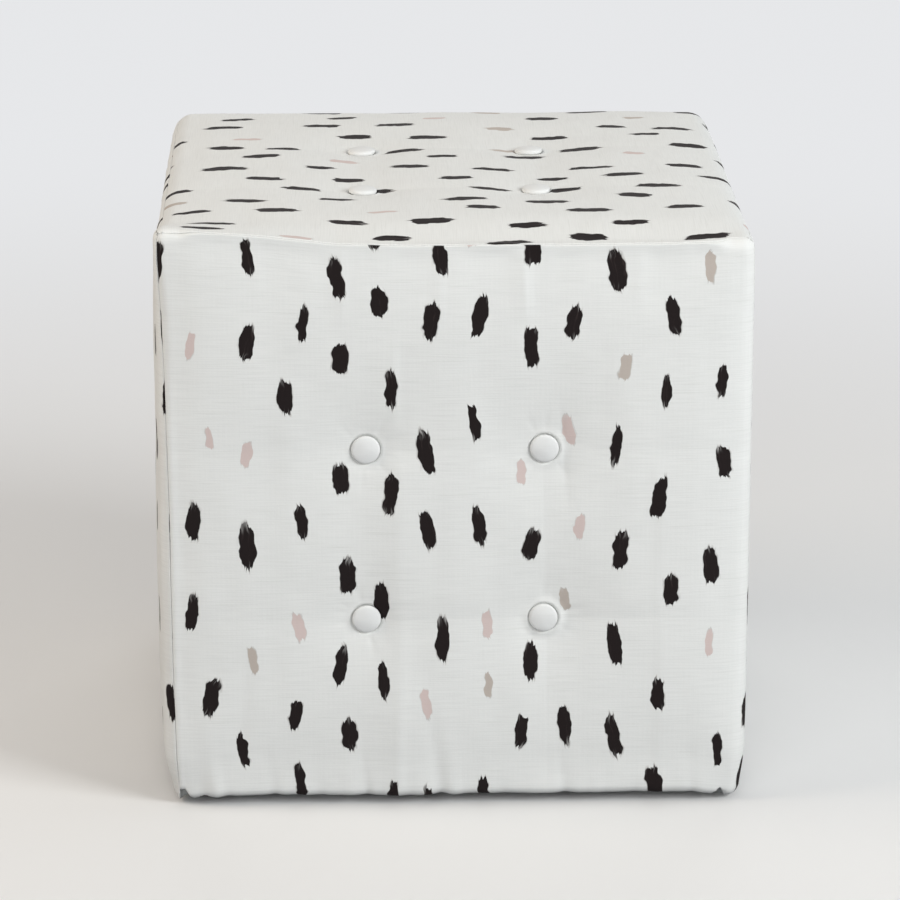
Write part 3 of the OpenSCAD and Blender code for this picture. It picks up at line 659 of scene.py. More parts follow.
def roll_seams(point, normal, u, v, at_foot):
    """Adds to a grid the lines that roll into its seams, on both sides and at the top, and
    at the foot too where at_foot is set."""

    def closing(p, from_start):
        """How wide the roll is along a seam: it closes up towards the corners."""
        steps = np.linalg.norm(np.diff(p, axis=0), axis=-1)
        run = np.concatenate([[0], np.cumsum(steps)])
        left = run[-1] - run
        end = np.minimum(run, left) if from_start else left
        return (ROLL_CLOSED + (1 - ROLL_CLOSED) * ease(end, 1 * MM, 16 * MM))[:, None]

    def roll(p, n, outwards, from_start):
        """Lines past one side of a grid, outwards is the way out along the cloth."""
        away = unit(outwards - n * np.sum(outwards * n, -1, keepdims=True))
        width = closing(p, from_start)
        radius = SEAM_ROLL * width
        seam = p - away * SEAM_GAP * width
        core = seam - (away + n) * radius
        lines = [core + radius * (n * math.cos(t) + away * math.sin(t)) for t in ROLL_TURNS]
        lines.append(seam - n * (radius + ALLOWANCE / 2))
        lines.append(seam - n * (radius + ALLOWANCE))
        first = core + radius * n
        normals = [unit(n * math.cos(t) + away * math.sin(t)) for t in ROLL_TURNS] + [away, away]
        return first, lines, normals

    def extend(p, n, u, v, last, from_start):
        """Rolls the last line of the grid's columns, or the first."""
        pick = -1 if last else 0
        next_in = -2 if last else 1
        first, lines, normals = roll(p[:, pick], n[:, pick], p[:, pick] - p[:, next_in], from_start)
        near = np.clip(1 - np.abs(u - u[:, pick][:, None]) / SEAM_REACH, 0, 1)
        p = p + (first - p[:, pick])[:, None] * near[..., None]
        steps = np.arange(1, len(lines) + 1) * ROLL_STEP
        du = np.sign(u[:, pick] - u[:, next_in])
        lines_p, lines_n = np.stack(lines, 1), np.stack(normals, 1)
        lines_u = u[:, pick][:, None] + du[:, None] * steps
        lines_v = np.repeat(v[:, pick][:, None], len(lines), 1)
        parts = [(p, lines_p), (n, lines_n), (u, lines_u), (v, lines_v)]
        if last:
            return [np.concatenate(pair, 1) for pair in parts]
        return [np.concatenate([added[:, ::-1], grid], 1) for grid, added in parts]

    turned = lambda grids: [g.swapaxes(0, 1) for g in grids]
    grids = [point, normal, u, v]
    for last in (True, False):
        grids = extend(*grids, last, at_foot)
    p, n, u, v = turned(grids)
    for last in ((True, False) if at_foot else (True,)):
        p, n, v, u = extend(p, n, v, u, last, True)
    return turned([p, n, u, v])


def grid_normals(point):
    """Outward directions of a grid of points, from its own shape."""
    du = np.gradient(point, axis=1)
    dv = np.gradient(point, axis=0)
    return unit(np.cross(du, dv))


def dress_panel(place):
    """A panel, the points of its finished outer face and their outward directions."""
    panel = Panel(place, CELL)
    rise = panel.swell + folds_of(panel)
    point = panel.point + panel.normal * rise[..., None]
    coarse = Panel(place, SETTLE_CELL)
    point = point + finer(settle(coarse), coarse, panel)
    shift = shared_shift(panel.point) + seam_shift(panel.point)
    normal = grid_normals(point + shift)
    if place != "top":
        point = notch_lift(panel, point)
    return panel, point + shift, normal


DRESSED = {place: dress_panel(place) for place in PLACES}


def give_uv(piece, uv):
    """A map of flat places in metres, one for each point."""
    layer = piece.data.uv_layers.new(name="UVMap")
    corners = np.zeros(len(piece.data.loops), int)
    piece.data.loops.foreach_get("vertex_index", corners)
    layer.data.foreach_set("uv", uv[corners].astype(np.float32).reshape(-1))


def apply_all(piece):
    bpy.ops.object.select_all(action="DESELECT")
    piece.select_set(True)
    bpy.context.view_layer.objects.active = piece
    for modifier in list(piece.modifiers):
        bpy.ops.object.modifier_apply(modifier=modifier.name)


def put_on(piece, node, material):
    """Shades a piece smooth, gives it its material and lets it take the place of a node."""
    piece.data.polygons.foreach_set("use_smooth", [True] * len(piece.data.polygons))
    piece.data.materials.append(material)
    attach(piece, "root")
    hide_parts(node)
    piece.data.update()


# Where each panel was cut from the printed cloth, in metres
CUT_FROM = {"top": (0.377, 0.61), "front": (0.754, 1.216), "right": (1.132, 1.83), "back": (1.508, 2.44),
            "left": (1.905, 3.087)}


def make_cover(place):
    panel, point, normal = DRESSED[place]
    p, n, u, v = roll_seams(point, normal, panel.u, panel.v, place == "top")
    rows, cols = u.shape
    piece = mesh_object("linen_" + place, p.reshape(-1, 3), grid_faces(rows, cols))
    flat = np.stack([u, v], -1) if place != "top" else np.stack([-v, u], -1)
    give_uv(piece, (flat + np.array(CUT_FROM[place])).reshape(-1, 2))
    thick = piece.modifiers.new("cloth thickness", "SOLIDIFY")
    thick.thickness = CLOTH_T
    thick.offset = -1
    apply_all(piece)
    put_on(piece, "cover_" + place, PRINTED_LINEN)


# Materials
class Finish:
    """A material and its nodes."""

    def __init__(self, name, roughness, metallic=0.0, **sockets):
        self.material = bpy.data.materials.new(name)
        self.material.use_nodes = True
        self.tree = self.material.node_tree
        self.shader = self.tree.nodes["Principled BSDF"]
        self.shader.inputs["Roughness"].default_value = roughness
        self.shader.inputs["Metallic"].default_value = metallic
        for socket, value in sockets.items():
            self.shader.inputs[socket.replace("_", " ")].default_value = value

    def node(self, kind, **settings):
        made = self.tree.nodes.new("ShaderNode" + kind)
        for key, value in settings.items():
            setattr(made, key, value)
        return made

    def link(self, source, target):
        """Joins an output to a socket, or writes a number or a colour on it."""
        if isinstance(source, (int, float, tuple, list)):
            target.default_value = source
        else:
            self.tree.links.new(source, target)

    def sum(self, kind, a, b=0.0):
        made = self.node("Math", operation=kind)
        self.link(a, made.inputs[0])
        self.link(b, made.inputs[1])
        return made.outputs[0]

    def plus(self, a, b):
        return self.sum("ADD", a, b)

    def minus(self, a, b):
        return self.sum("SUBTRACT", a, b)

    def over(self, a, b):
        return self.sum("DIVIDE", a, b)

    def times(self, a, b):
        return self.sum("MULTIPLY", a, b)

    def even(self, value, low, high):
        """A value from 0 to 1 drawn evenly over low to high."""
        return self.ramp(value, 0, 1, low, high, smooth=False)

    def place(self, source="Object"):
        return self.node("TexCoord").outputs[source]

    def stretched(self, vector, scale, shift=(0, 0, 0), turn=(0, 0, 0)):
        made = self.node("Mapping")
        self.link(vector, made.inputs["Vector"])
        made.inputs["Scale"].default_value = scale
        made.inputs["Location"].default_value = shift
        made.inputs["Rotation"].default_value = turn
        return made.outputs[0]

    def noise(self, vector, scale=1.0, detail=2.0, rough=0.5, distortion=0.0):
        made = self.node("TexNoise")
        self.link(vector, made.inputs["Vector"])
        for socket, value in (("Scale", scale), ("Detail", detail), ("Roughness", rough),
                              ("Distortion", distortion)):
            made.inputs[socket].default_value = value
        return made.outputs[0]

    def ramp(self, value, low, high, to_low=0.0, to_high=1.0, smooth=True):
        made = self.node("MapRange", interpolation_type="SMOOTHSTEP" if smooth else "LINEAR")
        self.link(value, made.inputs["Value"])
        for socket, number in zip(("From Min", "From Max", "To Min", "To Max"), (low, high, to_low, to_high)):
            self.link(number, made.inputs[socket])
        return made.outputs[0]

    def mix(self, share, a, b):
        made = self.node("Mix", data_type="RGBA")
        self.link(share, made.inputs[0])
        self.link(a, made.inputs[6])
        self.link(b, made.inputs[7])
        return made.outputs[2]

    def bump(self, height, distance, strength=1.0):
        made = self.node("Bump")
        made.inputs["Strength"].default_value = strength
        made.inputs["Distance"].default_value = distance
        self.link(height, made.inputs["Height"])
        self.link(made.outputs[0], self.shader.inputs["Normal"])

    def colour(self, source):
        self.link(source, self.shader.inputs["Base Color"])

    def roughness(self, source):
        self.link(source, self.shader.inputs["Roughness"])


def srgb(red, green, blue):
    """A colour as a screen shows it, as the shaders take it."""
    linear = [((c / 255 + 0.055) / 1.055) ** 2.4 if c > 10 else c / 255 / 12.92 for c in (red, green, blue)]
    return (*linear, 1.0)


LINEN = srgb(236, 237, 234)
LINEN_SLUB = srgb(231, 232, 229)
LINEN_DEEP = srgb(224, 225, 221)
BUTTON_LINEN = srgb(228, 229, 228)
LINEN_LOOK = {"Sheen_Weight": 0.03, "Sheen_Roughness": 0.4, "Specular_IOR_Level": 0.12}
# How often the grains of the linen repeat in a metre, across and up
WEFT_GRAIN, WARP_GRAIN, SLUB_GRAIN, PATCH_GRAIN = (34, 1250, 1), (1500, 60, 1), (22, 760, 1), (14, 22, 1)
RIB_RADIAN = 0.62 * MM      # cloth along one radian of the ribs in the weave


def weave(finish, uv):
    """Colour and height of plain linen over a flat map in metres. Its weft is the thicker."""
    weft = finish.noise(finish.stretched(uv, WEFT_GRAIN), detail=2)
    warp = finish.noise(finish.stretched(uv, WARP_GRAIN), detail=1)
    slub = finish.ramp(finish.noise(finish.stretched(uv, SLUB_GRAIN), detail=1), 0.6, 0.76)
    patch = finish.noise(finish.stretched(uv, PATCH_GRAIN), detail=3)
    thread = finish.plus(finish.times(weft, 0.78), finish.times(warp, 0.22))
    base = finish.mix(finish.ramp(thread, 0.36, 0.60), LINEN_SLUB, LINEN)
    base = finish.mix(finish.times(slub, 0.5), base, LINEN_DEEP)
    base = finish.mix(finish.ramp(patch, 0.35, 0.75, 0.0, 0.3), base, LINEN_SLUB)
    across = finish.node("TexWave", wave_type="BANDS", bands_direction="X", wave_profile="SIN")
    up = finish.node("TexWave", wave_type="BANDS", bands_direction="Y", wave_profile="SIN")
    for wave in (across, up):
        finish.link(uv, wave.inputs["Vector"])
        wave.inputs["Scale"].default_value = 0.05 / RIB_RADIAN
        wave.inputs["Distortion"].default_value = 0.6
        wave.inputs["Detail"].default_value = 1
        wave.inputs["Detail Scale"].default_value = 0.4
    threads = finish.times(across.outputs["Fac"], up.outputs["Fac"])
    height = finish.plus(finish.times(thread, 0.9), finish.times(threads, 0.35))
    height = finish.plus(height, finish.times(slub, 0.6))
    return base, height


def make_button_linen():
    """Closer cloth than the cover's, drawn smooth over the shells."""
    f = Finish("button linen", 0.82, **LINEN_LOOK)
    uv = f.place("UV")
    base, height = weave(f, uv)
    f.colour(f.mix(0.3, BUTTON_LINEN, base))
    f.bump(height, 0.10 * MM, 0.4)
    return f.material


# The print: short blunt brush strokes in upright columns, each column shifted by its own
# amount and each stroke turned, moved and sized a little by its own
COLUMN = 36.0 * MM
PITCH = 78.0 * MM
STROKE_OFF = (8.5 * MM, 17.0 * MM)      # how far a stroke may lie off its place, across and up
STROKE_TURN = 0.2                       # how far it may be turned, in radians
HALF_WIDTH = (3.9 * MM, 6.4 * MM)
HALF_LENGTH = (12.5 * MM, 19.0 * MM)
SIDE_WAVER = 1.5 * MM
PALE_ABOVE, PALE_SIZE = 0.8, 0.7        # one stroke in five is pale, and smaller than the rest
INK = srgb(34, 28, 28)
INK_THIN = srgb(66, 56, 55)
BLUSH = srgb(214, 197, 192)
TAUPE = srgb(192, 182, 173)
FRINGE = srgb(166, 161, 156)


def make_printed_linen():
    f = Finish("printed linen", 0.88, **LINEN_LOOK)
    uv = f.place("UV")
    base, height = weave(f, uv)
    parts = f.node("SeparateXYZ")
    f.link(uv, parts.inputs[0])
    u, v = parts.outputs[0], parts.outputs[1]

    def random(a, b, seed):
        pair = f.node("CombineXYZ")
        f.link(a, pair.inputs[0])
        f.link(b, pair.inputs[1])
        pair.inputs[2].default_value = seed
        made = f.node("TexWhiteNoise", noise_dimensions="3D")
        f.link(pair.outputs[0], made.inputs["Vector"])
        split = f.node("SeparateColor")
        f.link(made.outputs["Color"], split.inputs[0])
        return split.outputs[0], split.outputs[1], split.outputs[2]

    across = f.over(u, COLUMN)
    column = f.sum("FLOOR", across)
    local_u = f.times(f.minus(f.sum("FRACT", across), 0.5), COLUMN)
    column_shift, _, _ = random(column, 0.0, 3.0)
    raised = f.plus(f.times(column, 0.5), f.times(column_shift, 0.42))
    up = f.plus(f.over(v, PITCH), raised)
    row = f.sum("FLOOR", up)
    local_v = f.times(f.minus(f.sum("FRACT", up), 0.5), PITCH)
    r1, r2, r3 = random(column, row, 11.0)
    r4, r5, _ = random(column, row, 29.0)
    r7, r8, _ = random(column, row, 47.0)
    x = f.minus(local_u, f.even(r1, -STROKE_OFF[0], STROKE_OFF[0]))
    y = f.minus(local_v, f.even(r2, -STROKE_OFF[1], STROKE_OFF[1]))
    tilt = f.even(r3, -STROKE_TURN, STROKE_TURN)
    cos, sin = f.sum("COSINE", tilt), f.sum("SINE", tilt)
    sx = f.plus(f.times(x, cos), f.times(y, sin))
    sy = f.minus(f.times(y, cos), f.times(x, sin))
    # Wavering sides
    waver = f.noise(f.stretched(uv, (150, 90, 1)), detail=1)
    sx = f.plus(sx, f.ramp(waver, 0.25, 0.75, -SIDE_WAVER, SIDE_WAVER, smooth=False))
    # Bristle marks, which run along the stroke and fray its ends
    marks = f.node("CombineXYZ")
    f.link(f.times(sx, 430.0), marks.inputs[0])
    f.link(f.times(sy, 30.0), marks.inputs[1])
    f.link(f.plus(f.times(column, 7.3), f.times(row, 3.1)), marks.inputs[2])
    bristle = f.noise(marks.outputs[0], detail=2, rough=0.6)
    light = f.sum("GREATER_THAN", r7, PALE_ABOVE)
    half_w = f.even(r4, *HALF_WIDTH)
    half_l = f.even(r5, *HALF_LENGTH)
    shrink = f.even(light, 1.0, PALE_SIZE)
    half_w = f.times(half_w, shrink)
    half_l = f.times(half_l, shrink)
    frayed = f.times(half_l, f.ramp(bristle, 0.3, 0.7, 0.78, 1.12, smooth=False))
    side_part = f.sum("POWER", f.sum("ABSOLUTE", f.over(sx, half_w)), 2.2)
    end_part = f.sum("POWER", f.sum("ABSOLUTE", f.over(sy, frayed)), 3.2)
    reach = f.plus(side_part, end_part)
    stroke = f.ramp(reach, 0.90, 1.12, 1.0, 0.0)
    fringe = f.ramp(reach, 1.1, 1.55, 0.42, 0.0)
    fringe = f.times(fringe, f.ramp(bristle, 0.42, 0.6))
    ink = f.mix(f.ramp(bristle, 0.58, 0.82, 0.0, 0.6), INK, INK_THIN)
    pale = f.mix(f.sum("GREATER_THAN", r8, 0.55), BLUSH, TAUPE)
    paint = f.mix(light, ink, pale)
    to_end = f.ramp(f.sum("ABSOLUTE", f.over(sy, half_l)), 0.5, 1.0)
    dry = f.times(f.ramp(bristle, 0.55, 0.8), to_end)
    stroke = f.times(stroke, f.ramp(dry, 0.0, 1.0, 1.0, 0.35, smooth=False))
    colour = f.mix(fringe, base, FRINGE)
    colour = f.mix(stroke, colour, paint)
    f.colour(colour)
    f.bump(height, 0.14 * MM, 0.5)
    return f.material


BUTTON_CLOTH = make_button_linen()
PRINTED_LINEN = make_printed_linen()


def make_fibre(name, light, dark, scale, depth, roughness=0.95):
    """Foam, wadding and nonwoven cloth: a soft mottled colour over a fine grain."""
    f = Finish(name, roughness, Sheen_Weight=0.1, Specular_IOR_Level=0.2)
    at = f.place()
    grain = f.noise(at, scale, 6, 0.7)
    patch = f.noise(at, scale / 30, 3)
    tone = f.plus(f.times(grain, 0.6), f.times(patch, 0.4))
    f.colour(f.mix(f.ramp(tone, 0.38, 0.62), dark, light))
    f.bump(grain, depth)
    return f.material


def make_wood(name, light, dark, along, ring_scale):
    """Planed wood with its grain along one axis, 0, 1 or 2."""
    f = Finish(name, 0.6, Specular_IOR_Level=0.35)
    scale = [ring_scale] * 3
    scale[along] = ring_scale / 14
    at = f.stretched(f.place(), tuple(scale), shift=(0.3, 0.7, 0.1), turn=(0.03, 0.05, 0.02))
    rings = f.noise(at, 5, 3, distortion=0.7)
    bands = f.sum("FRACT", f.times(rings, 9.0))
    fine_scale = [2600] * 3
    fine_scale[along] = 60
    fibres = f.noise(f.stretched(f.place(), tuple(fine_scale)), detail=2)
    tone = f.plus(f.times(bands, 0.7), f.times(fibres, 0.3))
    f.colour(f.mix(f.ramp(tone, 0.15, 0.9), light, dark))
    f.roughness(f.ramp(fibres, 0.3, 0.7, 0.52, 0.7))
    f.bump(tone, 0.12 * MM)
    return f.material


def make_metal(name, colour, worn, roughness):
    f = Finish(name, roughness, metallic=1.0)
    at = f.place()
    patch = f.noise(at, 420, 4, 0.6)
    lines = f.noise(f.stretched(at, (300, 300, 2400)), detail=2)
    f.colour(f.mix(f.ramp(patch, 0.4, 0.68), colour, worn))
    f.roughness(f.ramp(lines, 0.3, 0.7, roughness - 0.07, roughness + 0.12))
    f.bump(lines, 0.03 * MM)
    return f.material


def make_plastic(name, light, dark, roughness):
    f = Finish(name, roughness, Specular_IOR_Level=0.45)
    at = f.place()
    grain = f.noise(at, 1400, 3)
    patch = f.noise(at, 60, 3)
    f.colour(f.mix(f.ramp(patch, 0.35, 0.7), light, dark))
    f.roughness(f.ramp(grain, 0.3, 0.7, roughness - 0.06, roughness + 0.08))
    f.bump(grain, 0.04 * MM)
    return f.material


def make_twine():
    f = Finish("waxed twine", 0.6, Sheen_Weight=0.2)
    at = f.place()
    lay = f.node("TexWave", wave_type="BANDS", bands_direction="DIAGONAL")
    f.link(at, lay.inputs["Vector"])
    lay.inputs["Scale"].default_value = 240
    fibres = f.noise(at, 3200, 3)
    tone = f.plus(f.times(lay.outputs["Fac"], 0.6), f.times(fibres, 0.4))
    f.colour(f.mix(f.ramp(tone, 0.2, 0.8), srgb(196, 184, 160), srgb(232, 224, 206)))
    f.bump(tone, 0.12 * MM)
    return f.material


PINE = [make_wood("pine along " + "xyz"[k], srgb(222, 190, 142), srgb(188, 146, 96), k, 34) for k in range(3)]
PLYWOOD = make_wood("plywood", srgb(214, 180, 134), srgb(178, 136, 92), 0, 22)
HARDBOARD = make_fibre("hardboard", srgb(128, 92, 62), srgb(96, 66, 42), 700, 0.05 * MM, 0.7)
FOAM = make_fibre("foam", srgb(236, 222, 178), srgb(216, 198, 148), 1100, 0.5 * MM)
WADDING = make_fibre("wadding", srgb(240, 240, 238), srgb(222, 223, 222), 420, 0.9 * MM)
NONWOVEN = make_fibre("black nonwoven", srgb(46, 46, 48), srgb(24, 24, 26), 900, 0.12 * MM)
ZINC = make_metal("yellow zinc", srgb(208, 182, 112), srgb(170, 140, 78), 0.32)
STEEL = make_metal("bright steel", srgb(196, 198, 200), srgb(150, 152, 154), 0.28)
WHITE_NYLON = make_plastic("white nylon", srgb(232, 231, 226), srgb(218, 217, 211), 0.42)
BROWN_NYLON = make_plastic("brown nylon", srgb(74, 52, 40), srgb(56, 38, 29), 0.45)
TWINE = make_twine()

# Finishes of the nodes that stay as they are
FINISHES = [
    ("corner_post_", PINE[2]), ("top_rail_front", PINE[0]), ("top_rail_back", PINE[0]),
    ("top_rail_", PINE[1]), ("base_rail_front", PINE[0]), ("base_rail_back", PINE[0]),
    ("base_rail_", PINE[1]), ("deck_brace", PINE[0]), ("top_deck", PLYWOOD), ("side_board_", HARDBOARD),
    ("frame_screws", ZINC), ("deck_screws", ZINC), ("board_nails", STEEL), ("button_backs_", STEEL),
    ("tufting_twine_", TWINE), ("twine_washers_", WHITE_NYLON), ("base_staples", STEEL),
    ("glides", BROWN_NYLON), ("glide_nails", STEEL)]


def finish_nodes():
    for name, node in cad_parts.items():
        material = next((m for start, m in FINISHES if name.startswith(start)), None)
        if material:
            for slot in node.material_slots:
                slot.material = material


finish_nodes()


# Padding: each wadding is a closed form between the cover and the plane of the foam
def closed_skin(name, outer, inner):
    rows, cols = outer.shape[:2]
    count = rows * cols
    index = np.arange(count).reshape(rows, cols)
    rim = np.concatenate([index[0, :-1], index[:-1, -1], index[-1, :0:-1], index[:0:-1, 0]])
    after = np.roll(rim, -1)
    walls = np.stack([after, rim, rim + count, after + count], -1)
    faces = np.concatenate([grid_faces(rows, cols), grid_faces(rows, cols, True, count), walls])
    return mesh_object(name, np.concatenate([outer.reshape(-1, 3), inner.reshape(-1, 3)]), faces)


def make_wadding(place):
    panel, point, normal = DRESSED[place]
    lowest = -1.0 if place == "top" else TURN_Z + 4 * MM
    rows = [i for i in range(2, panel.u.shape[0] - 2, 2) if panel.v[i, 0] >= lowest]
    cols = range(2, panel.u.shape[1] - 2, 2)
    pick = np.ix_(rows, cols)
    outer = point[pick] - normal[pick] * (CLOTH_T + 0.5 * MM)
    inner = point[pick].copy()
    limit = HALF - FOAM_IN
    if place == "top":
        inner[..., 2] = TOP_Z - FOAM_IN
        inner[..., :2] = np.clip(inner[..., :2], -limit, limit)
    else:
        axis = 1 if place in ("front", "back") else 0
        inner[..., axis] = np.sign(inner[..., axis]) * limit
        inner[..., 1 - axis] = np.clip(inner[..., 1 - axis], -limit, limit)
        inner[..., 2] = np.clip(inner[..., 2], TURN_Z + 4 * MM, TOP_Z - FOAM_IN)
    piece = closed_skin("wadding_" + place, outer, inner)
    put_on(piece, "top_batting" if place == "top" else "side_batting_" + place, WADDING)


FOAM_CUTS = 35
FOAM_DENT = 3.0 * MM            # how deep the tufts press it in
FOAM_EDGE = 1.6 * MM            # how far its face falls off along its edges
FOAM_FOOT, FOAM_CORNER_FOOT = 3 * MM, 8 * MM


def make_foam(place):
    """A slab of foam with soft edges, pressed in where the buttons draw on it. A side's slab
    gives way upwards at its foot, most of all beside the slits and notches of the hem."""
    node = "top_foam" if place == "top" else "side_foam_" + place
    low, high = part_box(node)
    size, middle = high - low, (low + high) / 2
    bpy.ops.object.select_all(action="DESELECT")
    bpy.ops.mesh.primitive_cube_add(size=1, location=middle, scale=size)
    piece = bpy.context.object
    piece.name = "foam_" + place
    bpy.ops.object.transform_apply(location=True, rotation=False, scale=True)
    bpy.ops.object.mode_set(mode="EDIT")
    bpy.ops.mesh.select_all(action="SELECT")
    bpy.ops.mesh.subdivide(number_cuts=FOAM_CUTS)
    bpy.ops.object.mode_set(mode="OBJECT")
    co = read_points(piece.data)
    axis = 2 if place == "top" else (1 if place in ("front", "back") else 0)
    others = [a for a in range(3) if a != axis]
    way = 1 if place in ("top", "back", "right") else -1
    outer_plane = high[axis] if way > 0 else low[axis]
    inner_plane = low[axis] if way > 0 else high[axis]
    depth = np.zeros(len(co))
    for cu in (-TUFT, TUFT):
        for cv in (-TUFT, TUFT):
            level = cv if place == "top" else cv + TUFT_MID_Z
            r = np.hypot(co[:, others[0]] - cu, co[:, others[1]] - level)
            depth = np.maximum(depth, FOAM_DENT * fade(r, 4 * MM, 34 * MM))
    for a in others:
        for edge in (low[a], high[a]):
            away = np.abs(co[:, a] - edge)
            depth = np.maximum(depth, FOAM_EDGE * (1 - ease(away, 0, 14 * MM)))
    share = (co[:, axis] - inner_plane) / (outer_plane - inner_plane)
    co[:, axis] -= way * depth * share
    if place != "top":
        along = others[0]
        to_corner = np.minimum(co[:, along] - low[along], high[along] - co[:, along])
        corner = 1 - ease(to_corner, 25 * MM, 70 * MM)
        foot = 1 - ease(co[:, 2], low[2], low[2] + 40 * MM)
        co[:, 2] += (FOAM_FOOT + FOAM_CORNER_FOOT * corner) * foot
    piece.data.vertices.foreach_set("co", co.astype(np.float32).reshape(-1))
    bevel = piece.modifiers.new("soft edges", "BEVEL")
    bevel.width = 1.2 * MM
    bevel.segments = 2
    bevel.limit_method = "ANGLE"
    bevel.angle_limit = math.radians(50)
    apply_all(piece)
    put_on(piece, node, FOAM)


for place in PLACES:
    make_foam(place)
    make_wadding(place)
    make_cover(place)


# Buttons: a low dome of plain linen drawn over a shell, its edge turned under all round
BUTTON_H = 5.5 * MM
BUTTON_SEGMENTS = 64
BUTTON_LEAN = 0.045
RIM_GATHERS = (17, 23, 31)      # how often the gathers over a rim repeat round it
# Outline from beside the top to the inside of the turned edge: share of the radius, height
BUTTON_SECTION = [(0.0, 5.5), (0.13, 5.47), (0.26, 5.38), (0.39, 5.23), (0.52, 5.02), (0.64, 4.77),
                  (0.75, 4.48), (0.84, 4.18), (0.905, 3.88), (0.95, 3.5), (0.982, 2.95), (1.0, 2.2),
                  (0.998, 1.4), (0.98, 0.75), (0.945, 0.25), (0.88, 0.0), (0.8, 0.05), (0.77, 0.7)]


def one_button():
    """A button standing on the origin, domed along +Z, made by spinning its outline."""
    section = [(share * BUTTON_R, height * MM) for share, height in BUTTON_SECTION]
    bpy.ops.object.select_all(action="DESELECT")
    bpy.ops.mesh.primitive_circle_add(vertices=BUTTON_SEGMENTS, radius=section[1][0],
                                      location=(0, 0, section[1][1]), fill_type="TRIFAN")
    piece = bpy.context.object
    bpy.ops.object.transform_apply(location=True, rotation=False, scale=False)
    bpy.ops.object.mode_set(mode="EDIT")
    bpy.ops.mesh.select_all(action="DESELECT")
    bm = bmesh.from_edit_mesh(piece.data)
    for vert in bm.verts:
        if vert.co.xy.length < 1e-6:
            vert.co.z = section[0][1]
    for edge in bm.edges:
        edge.select_set(edge.is_boundary)
    bmesh.update_edit_mesh(piece.data)
    for (r0, z0), (r1, z1) in zip(section[1:], section[2:]):
        bpy.ops.mesh.extrude_edges_move(TRANSFORM_OT_translate={"value": (0, 0, z1 - z0)})
        bpy.ops.transform.resize(value=(r1 / r0, r1 / r0, 1), center_override=(0, 0, 0))
    bpy.ops.mesh.select_all(action="SELECT")
    bpy.ops.mesh.normals_make_consistent(inside=False)
    bpy.ops.object.mode_set(mode="OBJECT")
    return piece


def button_places(place):
    """Middle and outward direction of each button, on the cloth that it sits on."""
    low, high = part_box("button_caps_" + place)
    tufts = [(cu, cv) for cu in (-TUFT, TUFT) for cv in (-TUFT, TUFT)]
    if place == "top":
        return [(Vector((cu, cv, low.z)), Vector((0, 0, 1)), Vector((1, 0, 0))) for cu, cv in tufts]
    across, out = (Vector((*way, 0)) for way in WAYS[place])
    axis = 0 if place in ("left", "right") else 1
    seat = max(abs(low[axis]), abs(high[axis])) - BUTTON_H
    return [(across * cu + Vector((0, 0, TUFT_MID_Z + cv)) + out * seat, out, across) for cu, cv in tufts]


def make_buttons(place):
    pattern = one_button()
    source = read_points(pattern.data)
    faces = [tuple(p.vertices) for p in pattern.data.polygons]
    bpy.data.objects.remove(pattern)
    rng = np.random.RandomState(700 + PLACES.index(place))
    points, quads, flat = [], [], []
    for at, out, across in button_places(place):
        up = out.cross(across)
        lean = rng.uniform(-BUTTON_LEAN, BUTTON_LEAN, 2)
        co = source.copy()
        turn = np.arctan2(co[:, 1], co[:, 0])
        r = np.hypot(co[:, 0], co[:, 1]) / BUTTON_R
        # The cloth is drawn over the rim in small gathers, and is never quite round
        gather = sum(np.cos(k * turn + rng.uniform(0, 6.28)) for k in RIM_GATHERS) / len(RIM_GATHERS)
        swell = 1 + 0.012 * gather * ease(r, 0.8, 1.0) + 0.006 * np.cos(2 * turn + rng.uniform(0, 6.28))
        co[:, 0] *= swell
        co[:, 1] *= swell
        co[:, 2] += 0.12 * MM * np.cos(3 * turn + rng.uniform(0, 6.28)) * ease(r, 0.1, 0.7)
        co[:, 2] += co[:, 0] * lean[0] + co[:, 1] * lean[1]
        basis = np.array([across, up, out])
        start = sum(len(p) for p in points)
        points.append(co @ basis + np.array(at))
        quads += [tuple(start + i for i in face) for face in faces]
        flat.append(source[:, :2] + rng.uniform(0, 1, 2))
    piece = mesh_object("buttons_" + place, np.concatenate(points), quads)
    give_uv(piece, np.concatenate(flat))
    smooth = piece.modifiers.new("smooth", "SUBSURF")
    smooth.levels = smooth.render_levels = 1
    apply_all(piece)
    put_on(piece, "button_caps_" + place, BUTTON_CLOTH)


for place in PLACES:
    make_buttons(place)


# Dust cover: black cloth with its edge folded under, sagging a little between staples
DUST_LINES = 97
DUST_T = 0.45 * MM
DUST_SAG, DUST_RIPPLE, DUST_FOLD = 1.2 * MM, 0.35 * MM, 0.35 * MM


def make_dust_cover():
    _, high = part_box("dust_cover")
    half = high.x
    lines = np.linspace(-half, half, DUST_LINES)
    y, x = np.meshgrid(lines, lines, indexing="ij")
    inset = np.minimum(half - np.abs(x), half - np.abs(y))
    sag = DUST_SAG * ease(inset, 12 * MM, 120 * MM)
    ripple = DUST_RIPPLE * clouds(x, y, 34 * MM, 34 * MM, 77) * ease(inset, 8 * MM, 40 * MM)
    fold = DUST_FOLD * (1 - ease(inset, 11 * MM, 14 * MM)) * ease(inset, 0, 2 * MM)
    z = high.z - sag - ripple - fold - 0.05 * MM
    points = np.stack([x, y, z], -1).reshape(-1, 3)
    piece = mesh_object("dust_cloth", points, grid_faces(DUST_LINES, DUST_LINES))
    thick = piece.modifiers.new("cloth thickness", "SOLIDIFY")
    thick.thickness = DUST_T
    thick.offset = -1
    apply_all(piece)
    put_on(piece, "dust_cover", NONWOVEN)


make_dust_cover()


